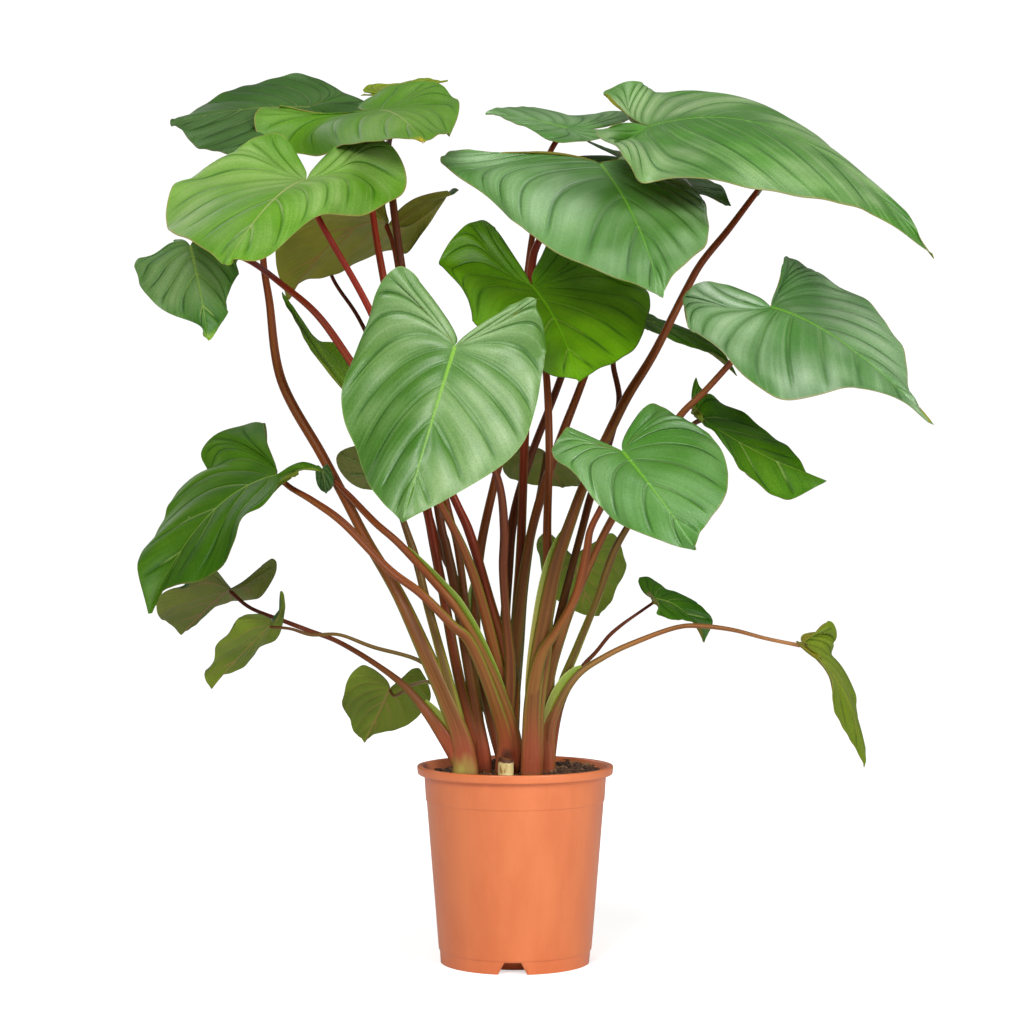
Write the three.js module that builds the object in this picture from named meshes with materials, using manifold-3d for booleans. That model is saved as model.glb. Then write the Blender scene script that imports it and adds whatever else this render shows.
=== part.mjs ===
import * as THREE from "three";
import Module from "manifold-3d";

const wasm = await Module();
wasm.setup();

// Space left between pieces that touch
const clearance = 0.35;

// Places on the plant are given as seen from the front: [across, depth, height] in millimetres,
// measured on the plane through the pot's axis and then moved back along the line of sight to their depth.
const eyeAcross = -3.2;
const eyeHeight = 448.8;
const eyeDistance = 2370;

// Pot
const rimRadius = 98.2;
const rimTop = 195.8;
const rimRoll = 8.2;
const lipRadius = 92.6;
const wall = 1.9;
const bodyTopRadius = 91;
const stepHeight = 161.2;
const stepRadius = 89.3;
const footHeight = 13.2;
const footRadius = 75;
const bodyFootRadius = 76.4;
const standRadius = 50;
const channelHeight = 12.8;
const floorThickness = 2.4;
const drainHoles = 8;
const drainHoleRadius = 5;
const notches = 4;
const notchBottom = 30;
const notchTop = 16;
const notchHeight = 12;
const potSides = 36;
const potColour = "#e07f52";

// Soil
const soilTop = 186.5;
const soilMound = 5;
const soilSides = 28;
const soilColour = "#3f2a1e";

// Shoots: the crown is the thick foot from which a shoot's stalks grow
const crownBottom = 140;
const crownTop = 208;
const crownSides = 14;
const holeSlack = 0.2;
const sheathStart = 0.55;
const sheathLength = 0.3;
const sheathFlatness = 0.62;
const thinStalk = 3.5;
const stalkColour = "#7c4429";

// Cut end of an old rhizome in front of the middle shoot
const stub = { across: -9, depth: -35.5, radius: 7.4, top: 203.5, bottom: 150, slant: 3 };
const stubColour = "#d9c489";

// Leaves
const bladeThickness = 0.9;
const pleatDepth = 1.6;
const veinLean = 1.8;
const rippleTurn = 1.9;
const rippleShift = 2.3;
const seatSlack = 0.25;
const foldSoftness = 0.08;
const lobeStation = -0.31;
const lobeWidth = 0.33;
const sideStation = 0.16;
const sideWidth = 0.53;
const shoulderStation = 0.62;
const shoulderWidth = 0.38;

// Half a heart-shaped leaf, from the stalk round the lobe and side to the tip:
// [along the midrib, across], the distance from stalk to tip being 1.
const halfOutline = [
  [0, 0], [-0.09, 0.045], [-0.2, 0.14], [-0.3, 0.26],
  [-0.325, 0.36], [-0.22, 0.45], [-0.05, 0.505], [0.16, 0.53], [0.38, 0.505],
  [0.55, 0.43], [0.7, 0.33], [0.83, 0.19], [0.93, 0.07], [1, 0],
];
const lastStation = halfOutline.length - 1;
const sinusEnd = 3;
// Stations along it where a leaf's own rim is given: sinus (if it shows), lobe, back, side, shoulder, tip
const rimStations = [1.8, 3.5, 5.5, 7.5, 9.5, 11.5];

const greens = {
  pale: { colour: "#7fa868", roughness: 0.42 },
  fresh: { colour: "#6b9c45", roughness: 0.42 },
  mid: { colour: "#4f8038", roughness: 0.42 },
  dark: { colour: "#3c6132", roughness: 0.45 },
  under: { colour: "#76804a", roughness: 0.6 },
};

// Each leaf by its stalk end, middle and tip, and its lobes, sides and shoulders, left then right
const leaves = {
  leaf_front_pale: {
    green: "pale",
    base: [-60, -180, 615], middle: [-87, -210, 527], tip: [-113, -230, 438],
    lobes: [[-112, -168, 689], [18, -170, 658]],
    sides: [[-165, -152, 611], [25, -158, 558]],
    shoulders: [[-163, -178, 527], [-25, -188, 486]],
    rim: [[[-65, 639], [-105, 690], [-141, 664], [-171, 573], [-157, 501], [-129, 455]],
      [[-33, 638], [5, 657], [22, 653], [28, 591], [5, 514], [-65, 464]]],
  },
  leaf_centre_dark: {
    green: "mid",
    base: [17, -10, 675], middle: [43, -78, 635], tip: [64, -145, 579],
    lobes: [[-35, 30, 737], [77, 28, 723]],
    sides: [[-72, 12, 693], [131, -18, 658]],
    shoulders: [[5, -78, 611], [115, -92, 609]],
    rim: [[[-7, 711], [-28, 737], [-65, 727], [-68, 683], [-41, 633], [31, 590]],
      [[25, 703], [45, 736], [95, 726], [133, 669], [128, 628], [94, 595]]],
  },
  leaf_upper_broad: {
    green: "mid",
    base: [85, -40, 798], middle: [121, -130, 739], tip: [146, -225, 664],
    lobes: [[-10, 25, 813], [135, 15, 798]],
    sides: [[-68, -35, 791], [198, -90, 743]],
    shoulders: [[33, -130, 713], [182, -168, 711]],
    rim: [[[-47, 815], [-74, 804], [-31, 771], [18, 725], [113, 677]],
      [[110, 803], [160, 788], [192, 755], [192, 723], [156, 682]]],
  },
  leaf_middle_right: {
    green: "fresh",
    base: [107, -120, 510], middle: [143, -170, 465], tip: [181, -215, 411],
    lobes: [[63, -95, 530], [140, -90, 556]],
    sides: [[41, -120, 499], [200, -115, 523]],
    shoulders: [[93, -165, 446], [209, -170, 464]],
    rim: [[[58, 531], [38, 516], [65, 480], [103, 438], [157, 416]],
      [[135, 556], [164, 543], [205, 515], [212, 469], [189, 436]]],
  },
  leaf_top_left: {
    green: "dark",
    base: [-205, 165, 854], middle: [-277, 130, 851], tip: [-345, 90, 837],
    lobes: [[-155, 226, 865], [-165, 140, 833]],
    sides: [[-223, 232, 884], [-253, 75, 811]],
    shoulders: [[-287, 180, 869], [-310, 65, 814]],
    rim: [[[-153, 864], [-190, 874], [-243, 884], [-290, 866], [-333, 846]],
      [[-193, 823], [-245, 811], [-282, 807], [-312, 813], [-333, 828]]],
  },
  leaf_top_left_low: {
    green: "fresh",
    base: [-138, 70, 851], middle: [-115, -20, 844], tip: [-93, -110, 819],
    lobes: [[-215, 120, 855], [-100, 130, 872]],
    sides: [[-259, 85, 831], [-56, 80, 853]],
    shoulders: [[-195, -18, 812], [-69, -35, 818]],
    rim: [[[-240, 856], [-259, 831], [-215, 808], [-175, 818], [-115, 821]],
      [[-107, 878], [-65, 875], [-56, 851], [-69, 818], [-84, 823]]],
  },
  leaf_left_broad: {
    green: "fresh",
    base: [-209, -60, 782], middle: [-247, -145, 756], tip: [-289, -235, 696],
    lobes: [[-253, -5, 824], [-165, 13, 820]],
    sides: [[-339, -40, 773], [-111, -35, 796]],
    shoulders: [[-345, -140, 728], [-170, -125, 745]],
    rim: [[[-215, 801], [-235, 824], [-291, 804], [-341, 774], [-347, 731], [-310, 713]],
      [[-196, 799], [-165, 819], [-116, 812], [-131, 754], [-197, 744], [-253, 702]]],
  },
  leaf_left_hanging: {
    green: "mid",
    base: [-325, -30, 715], middle: [-315, -55, 669], tip: [-307, -70, 620],
    lobes: [[-347, 0, 721], [-293, -5, 729]],
    sides: [[-377, -10, 687], [-276, -15, 689]],
    shoulders: [[-363, -40, 656], [-287, -45, 661]],
    rim: [[[-343, 717], [-365, 702], [-378, 684], [-355, 653], [-317, 636]],
      [[-293, 723], [-275, 706], [-277, 686], [-289, 660], [-305, 639]]],
  },
  leaf_left_behind: {
    green: "under",
    base: [-127, 100, 737], middle: [-175, 130, 725], tip: [-229, 170, 661],
    lobes: [[-70, 110, 763], [-143, 80, 783]],
    sides: [[-123, 175, 707], [-197, 60, 756]],
    shoulders: [[-185, 188, 685], [-232, 135, 715]],
    rim: [[[-102, 762], [-59, 770], [-78, 750], [-123, 709], [-180, 689], [-217, 675]],
      [[-130, 753], [-130, 776], [-165, 776], [-205, 756], [-236, 718], [-238, 693]]],
  },
  leaf_left_folded: {
    green: "fresh", rows: 8, steps: 3, wave: 1.5,
    base: [-155, -20, 559], middle: [-193, -25, 609], tip: [-233, -30, 669],
    sides: [[-163, 20, 609], [-182, -40, 576]],
    shoulders: [[-200, 5, 629], [-215, -45, 626]],
    rim: [[[-143, 571], [-158, 593], [-177, 617], [-203, 628], [-224, 654]],
      [[-150, 551], [-170, 573], [-190, 596], [-212, 624], [-228, 654]]],
  },
  leaf_left_middle: {
    green: "mid",
    base: [-239, -20, 486], middle: [-309, -10, 443], tip: [-367, -30, 347],
    lobes: [[-267, 40, 538], [-203, -45, 493]],
    sides: [[-312, 55, 503], [-257, -75, 456]],
    shoulders: [[-355, 40, 431], [-293, -60, 405]],
    rim: [[[-248, 514], [-257, 541], [-301, 524], [-325, 481], [-352, 439], [-377, 398]],
      [[-218, 495], [-199, 500], [-233, 474], [-275, 431], [-309, 378], [-350, 369]]],
  },
  leaf_low_left: {
    green: "under", rows: 8, steps: 3, wave: 1.5,
    base: [-285, 80, 372], middle: [-308, 115, 353], tip: [-334, 150, 326],
    lobes: [[-247, 70, 396], [-310, 60, 405]],
    sides: [[-257, 105, 363], [-330, 85, 376]],
    shoulders: [[-303, 130, 351], [-357, 115, 356]],
    rim: [[[-249, 399], [-239, 390], [-268, 361], [-307, 350], [-325, 333]],
      [[-304, 393], [-320, 389], [-343, 371], [-357, 347], [-347, 337]]],
  },
  leaf_low_left_small: {
    green: "under", rows: 8, steps: 3, wave: 1.5,
    base: [-245, 20, 336], middle: [-275, 58, 306], tip: [-304, 90, 272],
    lobes: [[-236, 5, 364], [-263, -5, 350]],
    sides: [[-253, 60, 311], [-290, 10, 326]],
    shoulders: [[-272, 85, 293], [-301, 50, 309]],
    rim: [[[-234, 369], [-231, 347], [-253, 314], [-274, 294], [-297, 282]],
      [[-260, 348], [-278, 340], [-296, 320], [-303, 295], [-311, 286]]],
  },
  leaf_low_left_inner: {
    green: "under", rows: 8, steps: 3, wave: 1.5,
    base: [-125, 60, 273], middle: [-138, 90, 245], tip: [-151, 115, 218],
    lobes: [[-102, 45, 294], [-148, 45, 293]],
    sides: [[-90, 75, 261], [-172, 70, 266]],
    shoulders: [[-112, 105, 233], [-163, 100, 239]],
    rim: [[[-100, 294], [-88, 278], [-92, 252], [-117, 231], [-142, 227]],
      [[-149, 295], [-168, 280], [-173, 255], [-164, 237], [-157, 225]]],
  },
  leaf_behind_front: {
    green: "under", rows: 8, steps: 3, wave: 1.5,
    base: [-111, -12, 483], middle: [-83, -16, 501], tip: [-55, -20, 521],
    lobes: [[-115, -17, 458], [-167, -8, 499]],
    sides: [[-90, -18, 461], [-123, -22, 529]],
    rim: [[[-113, 459], [-91, 463], [-75, 471], [-60, 491], [-53, 511]],
      [[-158, 474], [-175, 509], [-130, 525], [-90, 533], [-65, 527]]],
  },
  leaf_top_left_back: {
    green: "under", rows: 8, steps: 3, wave: 1.5,
    base: [-129, 205, 868], middle: [-99, 215, 874], tip: [-67, 226, 881],
    lobes: [[-153, 186, 866], [-151, 222, 871]],
    sides: [[-123, 176, 863], [-121, 230, 878]],
  },
  leaf_left_hidden: {
    green: "mid", rows: 6, steps: 2, wave: 0.5,
    base: [-203, 200, 751], middle: [-215, 220, 763], tip: [-230, 234, 754],
    sides: [[-153, 200, 775], [-253, 200, 771]],
  },
  leaf_left_tiny: {
    green: "dark", rows: 6, steps: 2, wave: 0.5,
    base: [-193, 14, 491], middle: [-191, 16, 479], tip: [-189, 18, 467],
    sides: [[-199, 12, 481], [-182, 18, 483]],
  },
  leaf_centre_back: {
    green: "under", rows: 8, steps: 3, wave: 1.5,
    base: [30, 110, 509], middle: [38, 138, 490], tip: [47, 150, 473],
    lobes: [[50, 100, 514], [0, 100, 515]],
    sides: [[68, 125, 487], [-12, 125, 491]],
  },
  leaf_top_centre: {
    green: "mid", rows: 8, steps: 3, wave: 1.5,
    base: [51, 60, 833], middle: [9, 80, 843], tip: [-30, 95, 847],
    lobes: [[115, 110, 847], [82, 20, 823]],
    sides: [[60, 150, 853], [25, 5, 833]],
    shoulders: [[5, 135, 856], [-3, 45, 844]],
    rim: [[[117, 843], [90, 848], [40, 849], [7, 853], [-18, 854]],
      [[110, 830], [75, 822], [33, 820], [5, 837], [-17, 844]]],
  },
  leaf_top_right: {
    green: "mid",
    base: [135, 0, 835], middle: [279, -70, 825], tip: [419, -170, 702],
    lobes: [[83, -110, 828], [110, 80, 869]],
    sides: [[175, -150, 787], [185, 140, 874]],
    shoulders: [[305, -170, 762], [305, 0, 831]],
    rim: [[[82, 828], [112, 803], [178, 784], [282, 763], [347, 745]],
      [[97, 858], [92, 873], [171, 875], [298, 832], [358, 772]]],
  },
  leaf_top_right_back: {
    green: "dark", rows: 8, steps: 3, wave: 1.5,
    base: [110, 150, 801], middle: [160, 135, 783], tip: [216, 110, 755],
    lobes: [[60, 115, 793], [77, 185, 820]],
    sides: [[135, 110, 771], [145, 210, 811]],
    shoulders: [[182, 115, 763], [197, 165, 779]],
    rim: [[[58, 804], [75, 791], [135, 776], [188, 765], [207, 758]],
      [[72, 820], [95, 811], [145, 796], [185, 783], [207, 775]]],
  },
  leaf_right_large: {
    green: "mid",
    base: [256, -110, 654], middle: [331, -135, 616], tip: [419, -170, 536],
    lobes: [[175, -130, 663], [269, -60, 701]],
    sides: [[233, -180, 593], [333, -25, 675]],
    shoulders: [[323, -200, 566], [376, -95, 631]],
    rim: [[[230, 670], [200, 678], [171, 660], [188, 621], [265, 564], [335, 568]],
      [[264, 678], [269, 703], [297, 690], [352, 664], [386, 618], [403, 569]]],
  },
  leaf_right_edge_on: {
    green: "dark", rows: 8, steps: 3, wave: 1.5,
    base: [130, 62, 641], middle: [176, 52, 621], tip: [222, 42, 585],
    lobes: [[119, 45, 635], [125, 85, 654]],
    sides: [[145, 28, 621], [157, 92, 641]],
    shoulders: [[185, 36, 602], [189, 72, 621]],
    rim: [[[121, 637], [132, 632], [150, 623], [182, 613], [207, 601]],
      [[121, 649], [133, 644], [157, 636], [188, 623], [212, 604]]],
  },
  leaf_right_curled: {
    green: "dark",
    base: [185, -30, 544], middle: [242, -45, 509], tip: [312, -60, 480],
    lobes: [[169, -45, 553], [183, -20, 583]],
    sides: [[207, -60, 524], [229, 10, 547]],
    shoulders: [[260, -70, 461], [275, -20, 514]],
    rim: [[[179, 556], [187, 544], [207, 520], [236, 486], [271, 460]],
      [[181, 583], [190, 563], [223, 548], [266, 520], [292, 488]]],
  },
  leaf_low_right_round: {
    green: "under", rows: 8, steps: 3, wave: 1.5,
    base: [59, 110, 403], middle: [68, 138, 373], tip: [84, 160, 345],
    lobes: [[91, 95, 424], [34, 95, 427]],
    sides: [[111, 120, 391], [26, 120, 401]],
    shoulders: [[97, 145, 361], [42, 145, 363]],
    rim: [[[90, 424], [103, 421], [111, 391], [99, 367], [88, 350]],
      [[33, 427], [22, 420], [25, 399], [40, 363], [65, 347]]],
  },
  leaf_low_right_small: {
    green: "mid", rows: 8, steps: 3, wave: 1.5,
    base: [141, 60, 362], middle: [169, 62, 349], tip: [189, 60, 318],
    lobes: [[140, 30, 357], [133, 85, 383]],
    sides: [[147, 30, 347], [166, 90, 367]],
    shoulders: [[173, 40, 337], [197, 75, 340]],
    rim: [[[135, 369], [144, 355], [153, 342], [170, 341], [186, 332]],
      [[124, 383], [140, 378], [163, 368], [183, 355], [198, 340]]],
  },
  leaf_right_hanging: {
    green: "fresh", rows: 8, steps: 3, wave: 1.5,
    base: [288, -20, 317], middle: [330, -30, 266], tip: [349, -40, 193],
    lobes: [[285, -50, 311], [313, 20, 340]],
    sides: [[307, -70, 298], [320, 35, 311]],
    shoulders: [[322, -75, 246], [345, 20, 245]],
    rim: [[[291, 313], [306, 306], [318, 282], [321, 241], [337, 219]],
      [[311, 340], [314, 318], [326, 290], [342, 257], [349, 216]]],
  },
  leaf_top_right_hidden: {
    green: "mid", rows: 6, steps: 2, wave: 0.5,
    base: [257, 40, 793], middle: [285, 25, 801], tip: [335, 5, 761],
    sides: [[260, -30, 789], [285, 95, 811]],
  },
};

// Each shoot: its crown [across, depth, radius] in the soil and its stalks, from just under the leaf down.
// girth: half-widths at the leaf, half way down and at the sheath
const shoots = {
  shoot_left: {
    crown: [-44.7, -30, 10.5],
    stalks: [
      { leaf: "leaf_top_left", girth: [3, 5.6, 9.5], path: [
        [-243, 145, 811], [-253, 130, 761], [-252, 112, 701], [-246, 100, 660], [-234, 78, 581],
        [-194, 50, 507], [-172, 30, 466], [-147, 5, 418], [-117, -18, 367], [-91, -32, 311],
        [-69, -36, 261], [-54, -33, 222],
      ] },
      { leaf: "leaf_left_folded", girth: [2.6, 4.6, 8], path: [
        [-132, -30, 501], [-111, -30, 437], [-99, -30, 401], [-88, -33, 357], [-69, -36, 287],
        [-53, -33, 222],
      ] },
      { leaf: "leaf_low_left", girth: [2, 2.8, 7], path: [
        [-265, 68, 353], [-232, 52, 340], [-206, 42, 330], [-177, 28, 319], [-140, 2, 297],
        [-107, -18, 271], [-77, -30, 233],
      ] },
      { leaf: "leaf_low_left_small", girth: [1.6, 2, 4], path: [
        [-225, 10, 332], [-204, 6, 326], [-176, -2, 326], [-143, -12, 314], [-91, -28, 297],
        [-75, -31, 261],
      ] },
      { leaf: "leaf_low_left_inner", girth: [1.6, 2, 3.5], path: [
        [-121, 50, 265], [-112, 40, 269], [-102, 20, 276], [-83, -12, 277], [-69, -25, 249],
      ] },
    ],
  },
  shoot_left_back: {
    crown: [-28, -3, 8],
    stalks: [
      { leaf: "leaf_top_left_low", girth: [3, 4.6, 6], path: [
        [-149, 60, 801], [-142, 45, 744], [-131, 30, 679], [-89, -2, 458], [-81, -5, 416],
        [-74, -6, 379], [-59, -6, 296], [-45, -6, 236],
      ] },
      { leaf: "leaf_top_left_back", girth: [3.4, 5.2, 6.5], path: [
        [-122, 190, 841], [-127, 112, 811], [-123, 62, 765], [-113, 46, 691], [-78, 14, 458],
        [-69, 10, 414], [-58, 4, 361], [-37, -5, 236],
      ] },
      { leaf: "leaf_left_behind", girth: [2.4, 3.8, 5], path: [
        [-122, 88, 716], [-116, 78, 686], [-100, 56, 601], [-68, 24, 456], [-58, 14, 416],
        [-49, 6, 351], [-43, 0, 296],
      ] },
      { leaf: "leaf_behind_front", girth: [2.2, 3.4, 5], path: [
        [-113, 3, 486], [-93, 0, 459], [-82, -4, 411], [-68, -6, 341], [-50, -5, 261],
      ] },
    ],
  },
  shoot_middle: {
    crown: [-10, -12, 8.5],
    stalks: [
      { leaf: "leaf_left_middle", girth: [2.8, 4.6, 7.5], path: [
        [-231, -12, 478], [-223, -15, 472], [-201, -28, 459], [-171, -46, 437], [-127, -66, 392],
        [-94, -70, 367], [-63, -64, 336], [-45, -56, 318], [-25, -38, 271], [-10, -18, 221],
      ] },
      { leaf: "leaf_left_tiny", girth: [2.4, 4.4, 8], path: [
        [-187, 25, 487], [-176, 22, 475], [-165, 4, 464], [-140, -34, 438], [-114, -50, 415],
        [-73, -60, 370], [-56, -57, 348], [-35, -46, 311], [-13, -28, 261], [-3, -16, 221],
      ] },
      { leaf: "leaf_left_broad", girth: [3.4, 5.4, 8], path: [
        [-197, -52, 743], [-146, -44, 652], [-103, -40, 551], [-59, -38, 458], [-44, -37, 423],
        [-23, -32, 353], [-11, -25, 314], [-3, -18, 271],
      ] },
      { leaf: "leaf_left_hanging", girth: [2.6, 4, 6], path: [
        [-312, 14, 710], [-293, 20, 710], [-264, 6, 699], [-234, -42, 677], [-198, -56, 646],
        [-165, -56, 600], [-120, -54, 529], [-73, -52, 453], [-44, -46, 392], [-21, -30, 311],
        [-9, -18, 251],
      ] },
      { leaf: "leaf_front_pale", girth: [3, 4.6, 6.5], path: [
        [-52, -160, 581], [-40, -135, 531], [-17, -105, 481], [-11, -80, 432], [-12, -62, 392],
        [-9, -45, 343], [-5, -32, 296], [-7, -18, 236],
      ] },
    ],
  },
  shoot_back: {
    crown: [-5, 22, 9],
    stalks: [
      { leaf: "leaf_top_centre", girth: [3, 4.6, 6.5], path: [
        [31, 60, 798], [17, 56, 724], [7, 52, 641], [-8, 46, 531], [-20, 43, 481],
        [-34, 36, 416], [-39, 32, 361], [-38, 28, 303], [-23, 24, 241],
      ] },
      { leaf: "leaf_top_right_back", girth: [3, 4.8, 6.5], path: [
        [89, 130, 721], [67, 105, 651], [46, 85, 584], [14, 60, 500], [-2, 46, 441],
        [-7, 38, 386], [-11, 28, 321], [-10, 24, 251],
      ] },
      { leaf: "leaf_top_right", girth: [3.6, 5.6, 7], path: [
        [133, 40, 816], [125, 60, 771], [107, 56, 691], [69, 36, 584], [48, 27, 529],
        [30, 20, 477], [17, 18, 432], [8, 18, 382], [1, 20, 321], [-5, 21, 251],
      ] },
      { leaf: "leaf_upper_broad", girth: [3.4, 5.6, 7], path: [
        [70, -12, 776], [48, 10, 747], [23, 32, 718], [15, 36, 675], [10, 32, 541],
        [6, 26, 422], [2, 24, 343], [-3, 22, 251],
      ] },
      { leaf: "leaf_centre_back", girth: [2.2, 4.4, 5.5], path: [
        [28, 95, 491], [21, 78, 451], [14, 62, 411], [9, 48, 371], [5, 36, 321],
        [-1, 26, 251],
      ] },
      { leaf: "leaf_left_hidden", girth: [2, 3.4, 5], path: [
        [-184, 195, 686], [-154, 165, 638], [-115, 115, 551], [-90, 75, 461], [-72, 52, 405],
        [-49, 40, 363], [-31, 30, 301], [-15, 24, 231],
      ] },
    ],
  },
  shoot_front: {
    crown: [14, -30, 10],
    stalks: [
      { leaf: "leaf_centre_dark", girth: [3, 4.6, 7], path: [
        [23, 10, 636], [31, 4, 588], [34, -12, 512], [32, -30, 432], [33, -35, 371],
        [32, -35, 316], [23, -33, 256],
      ] },
      { leaf: "leaf_top_right_hidden", girth: [2.8, 5, 8], path: [
        [251, 42, 779], [241, 34, 768], [213, 22, 731], [187, 14, 699], [171, 8, 671],
        [139, -6, 608], [112, -16, 564], [93, -24, 526], [71, -32, 481], [55, -38, 438],
        [41, -42, 396], [30, -42, 343], [19, -38, 271],
      ] },
      { leaf: "leaf_middle_right", girth: [2.8, 4.4, 8], path: [
        [103, -112, 486], [86, -95, 453], [75, -84, 430], [71, -78, 406], [61, -66, 366],
        [43, -54, 333], [25, -44, 303], [16, -36, 251],
      ] },
    ],
  },
  shoot_right: {
    crown: [30, -10, 8.5],
    stalks: [
      { leaf: "leaf_right_edge_on", girth: [2.2, 4, 5], path: [
        [105, 52, 616], [98, 46, 598], [104, 36, 561], [95, 24, 521], [77, 8, 469],
        [67, -2, 432], [47, -12, 354], [33, -12, 281],
      ] },
      { leaf: "leaf_right_large", girth: [3.2, 4.8, 6], path: [
        [240, -95, 626], [219, -85, 602], [190, -72, 570], [165, -64, 545], [135, -52, 501],
        [96, -38, 440], [70, -26, 386], [48, -20, 333], [32, -13, 271],
      ] },
      { leaf: "leaf_right_curled", girth: [2.6, 4, 4.6], path: [
        [175, -25, 533], [155, -20, 501], [110, -20, 430], [96, -20, 402], [82, -20, 362],
        [62, -16, 313], [42, -12, 261],
      ] },
      { leaf: "leaf_low_right_round", girth: [1.8, 2.4, 4], path: [
        [53, 90, 381], [48, 70, 363], [43, 45, 341], [39, 20, 311], [35, 0, 251],
      ] },
      { leaf: "leaf_low_right_small", girth: [1.6, 2.2, 4], path: [
        [125, 50, 349], [108, 40, 337], [94, 30, 325], [81, 18, 309], [66, 6, 292],
        [46, -4, 256],
      ] },
      { leaf: "leaf_right_hanging", girth: [2, 2.8, 5], path: [
        [252, -15, 322], [217, -8, 331], [183, -2, 335], [160, 2, 333], [126, 4, 321],
        [91, 2, 305], [59, -2, 282], [37, -7, 239],
      ] },
    ],
  },
};

// The point in space of a place on the plant
function place([across, depth, height]) {
  const k = 1 + depth / eyeDistance;
  return new THREE.Vector3(
    eyeAcross + (across - eyeAcross) * k,
    depth,
    eyeHeight + (height - eyeHeight) * k,
  );
}

function smooth(x) {
  const t = Math.min(1, Math.max(0, x));
  return t * t * (3 - 2 * t);
}

// A point on a smooth curve through the given points, at share 0 to 1 of the way
function along(points, share) {
  const spans = points.length - 1;
  const u = Math.min(spans - 1e-9, Math.max(0, share * spans));
  const k = Math.floor(u);
  const t = u - k;
  const at = (n) => points[Math.min(spans, Math.max(0, n))];
  return at(k).map((_, axis) => {
    const p1 = at(k)[axis];
    const p2 = at(k + 1)[axis];
    const p0 = k > 0 ? at(k - 1)[axis] : 2 * p1 - p2;
    const p3 = k + 2 <= spans ? at(k + 2)[axis] : 2 * p2 - p1;
    return 0.5 * (2 * p1 + (p2 - p0) * t + (2 * p0 - 5 * p1 + 4 * p2 - p3) * t * t
      + (3 * p1 - 3 * p2 + p3 - p0) * t * t * t);
  });
}

function solidOf(vertices, faces) {
  const mesh = new wasm.Mesh({
    numProp: 3,
    vertProperties: new Float32Array(vertices.flat()),
    triVerts: new Uint32Array(faces.flat()),
  });
  return new wasm.Manifold(mesh);
}

function geometryOf(solid) {
  const { vertProperties, triVerts, numProp } = solid.getMesh();
  const positions = new Float32Array(triVerts.length * 3);
  triVerts.forEach((v, n) => {
    positions.set(vertProperties.subarray(v * numProp, v * numProp + 3), n * 3);
  });
  const geometry = new THREE.BufferGeometry();
  geometry.setAttribute("position", new THREE.BufferAttribute(positions, 3));
  geometry.computeVertexNormals();
  return geometry;
}

// A solid turned about the vertical axis; the profile runs from the axis, outside, back to the axis
function turned(profile, sides, height = () => 0) {
  const vertices = [];
  const rings = profile.map(([radius, z]) => {
    if (radius === 0) {
      vertices.push([0, 0, z + height(0, 0)]);
      return [vertices.length - 1];
    }
    return Array.from({ length: sides }, (_, n) => {
      const angle = (2 * Math.PI * n) / sides;
      const x = radius * Math.cos(angle);
      const y = radius * Math.sin(angle);
      vertices.push([x, y, z + height(x, y, z)]);
      return vertices.length - 1;
    });
  });
  const faces = [];
  for (let r = 0; r + 1 < rings.length; r += 1) {
    for (let n = 0; n < sides; n += 1) {
      const pick = (ring, k) => ring[ring.length === 1 ? 0 : k % sides];
      const [lower, upper] = [rings[r], rings[r + 1]];
      const quad = [pick(lower, n), pick(lower, n + 1), pick(upper, n + 1), pick(upper, n)];
      if (quad[0] !== quad[1]) {
        faces.push([quad[0], quad[1], quad[2]]);
      }
      if (quad[2] !== quad[3]) {
        faces.push([quad[0], quad[2], quad[3]]);
      }
    }
  }
  return solidOf(vertices, faces);
}

// The smooth surface of a leaf at a place along and across its midrib
function surfaceOf(leaf) {
  const [base, middle, tip] = [leaf.base, leaf.middle, leaf.tip].map(place);
  const midrib = (a) => {
    const weights = a < 0
      ? [1 - 3 * a, 4 * a, -a]
      : [(1 - a) * (1 - 2 * a), 4 * a * (1 - a), a * (2 * a - 1)];
    return base.clone().multiplyScalar(weights[0])
      .addScaledVector(middle, weights[1])
      .addScaledVector(tip, weights[2]);
  };
  const fold = (w) => Math.hypot(w, foldSoftness) - foldSoftness;
  const spread = (pair, station, width) => {
    const [left, right] = pair.map(place);
    return {
      odd: right.clone().sub(left).multiplyScalar(0.5 / width),
      even: right.clone().add(left).addScaledVector(midrib(station), -2).multiplyScalar(0.5 / fold(width)),
    };
  };
  const side = spread(leaf.sides, sideStation, sideWidth);
  const lobe = leaf.lobes ? spread(leaf.lobes, lobeStation, lobeWidth) : side;
  const shoulder = leaf.shoulders ? spread(leaf.shoulders, shoulderStation, shoulderWidth) : side;
  return (a, w) => {
    const toward = a < sideStation ? lobe : shoulder;
    const reach = a < sideStation ? lobeStation - sideStation : shoulderStation - sideStation;
    const share = smooth((a - sideStation) / reach);
    const odd = side.odd.clone().lerp(toward.odd, share);
    const even = side.even.clone().lerp(toward.even, share);
    return midrib(a).addScaledVector(odd, w).addScaledVector(even, fold(w));
  };
}

// How far the rim seen from the front lies from that of the smooth surface, at a place round the outline
function rimShift(leaf, surface, hand) {
  if (!leaf.rim) {
    return () => new THREE.Vector3();
  }
  const seen = leaf.rim[hand < 0 ? 0 : 1];
  const given = rimStations.slice(rimStations.length - seen.length);
  const shifts = given.map((station, n) => {
    const [a, w] = along(halfOutline, station / lastStation);
    const point = surface(a, hand * w);
    return place([seen[n][0], point.y, seen[n][1]]).sub(point).toArray();
  });
  const stations = [0, ...given, lastStation];
  const steps = [[0, 0, 0], ...shifts, [0, 0, 0]];
  return (station) => {
    const next = stations.findIndex((s, n) => n > 0 && station <= s);
    const n = Math.max(1, next < 0 ? stations.length - 1 : next);
    const t = (station - stations[n - 1]) / (stations[n] - stations[n - 1]);
    return new THREE.Vector3(...along(steps, (n - 1 + t) / (steps.length - 1)));
  };
}

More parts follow.
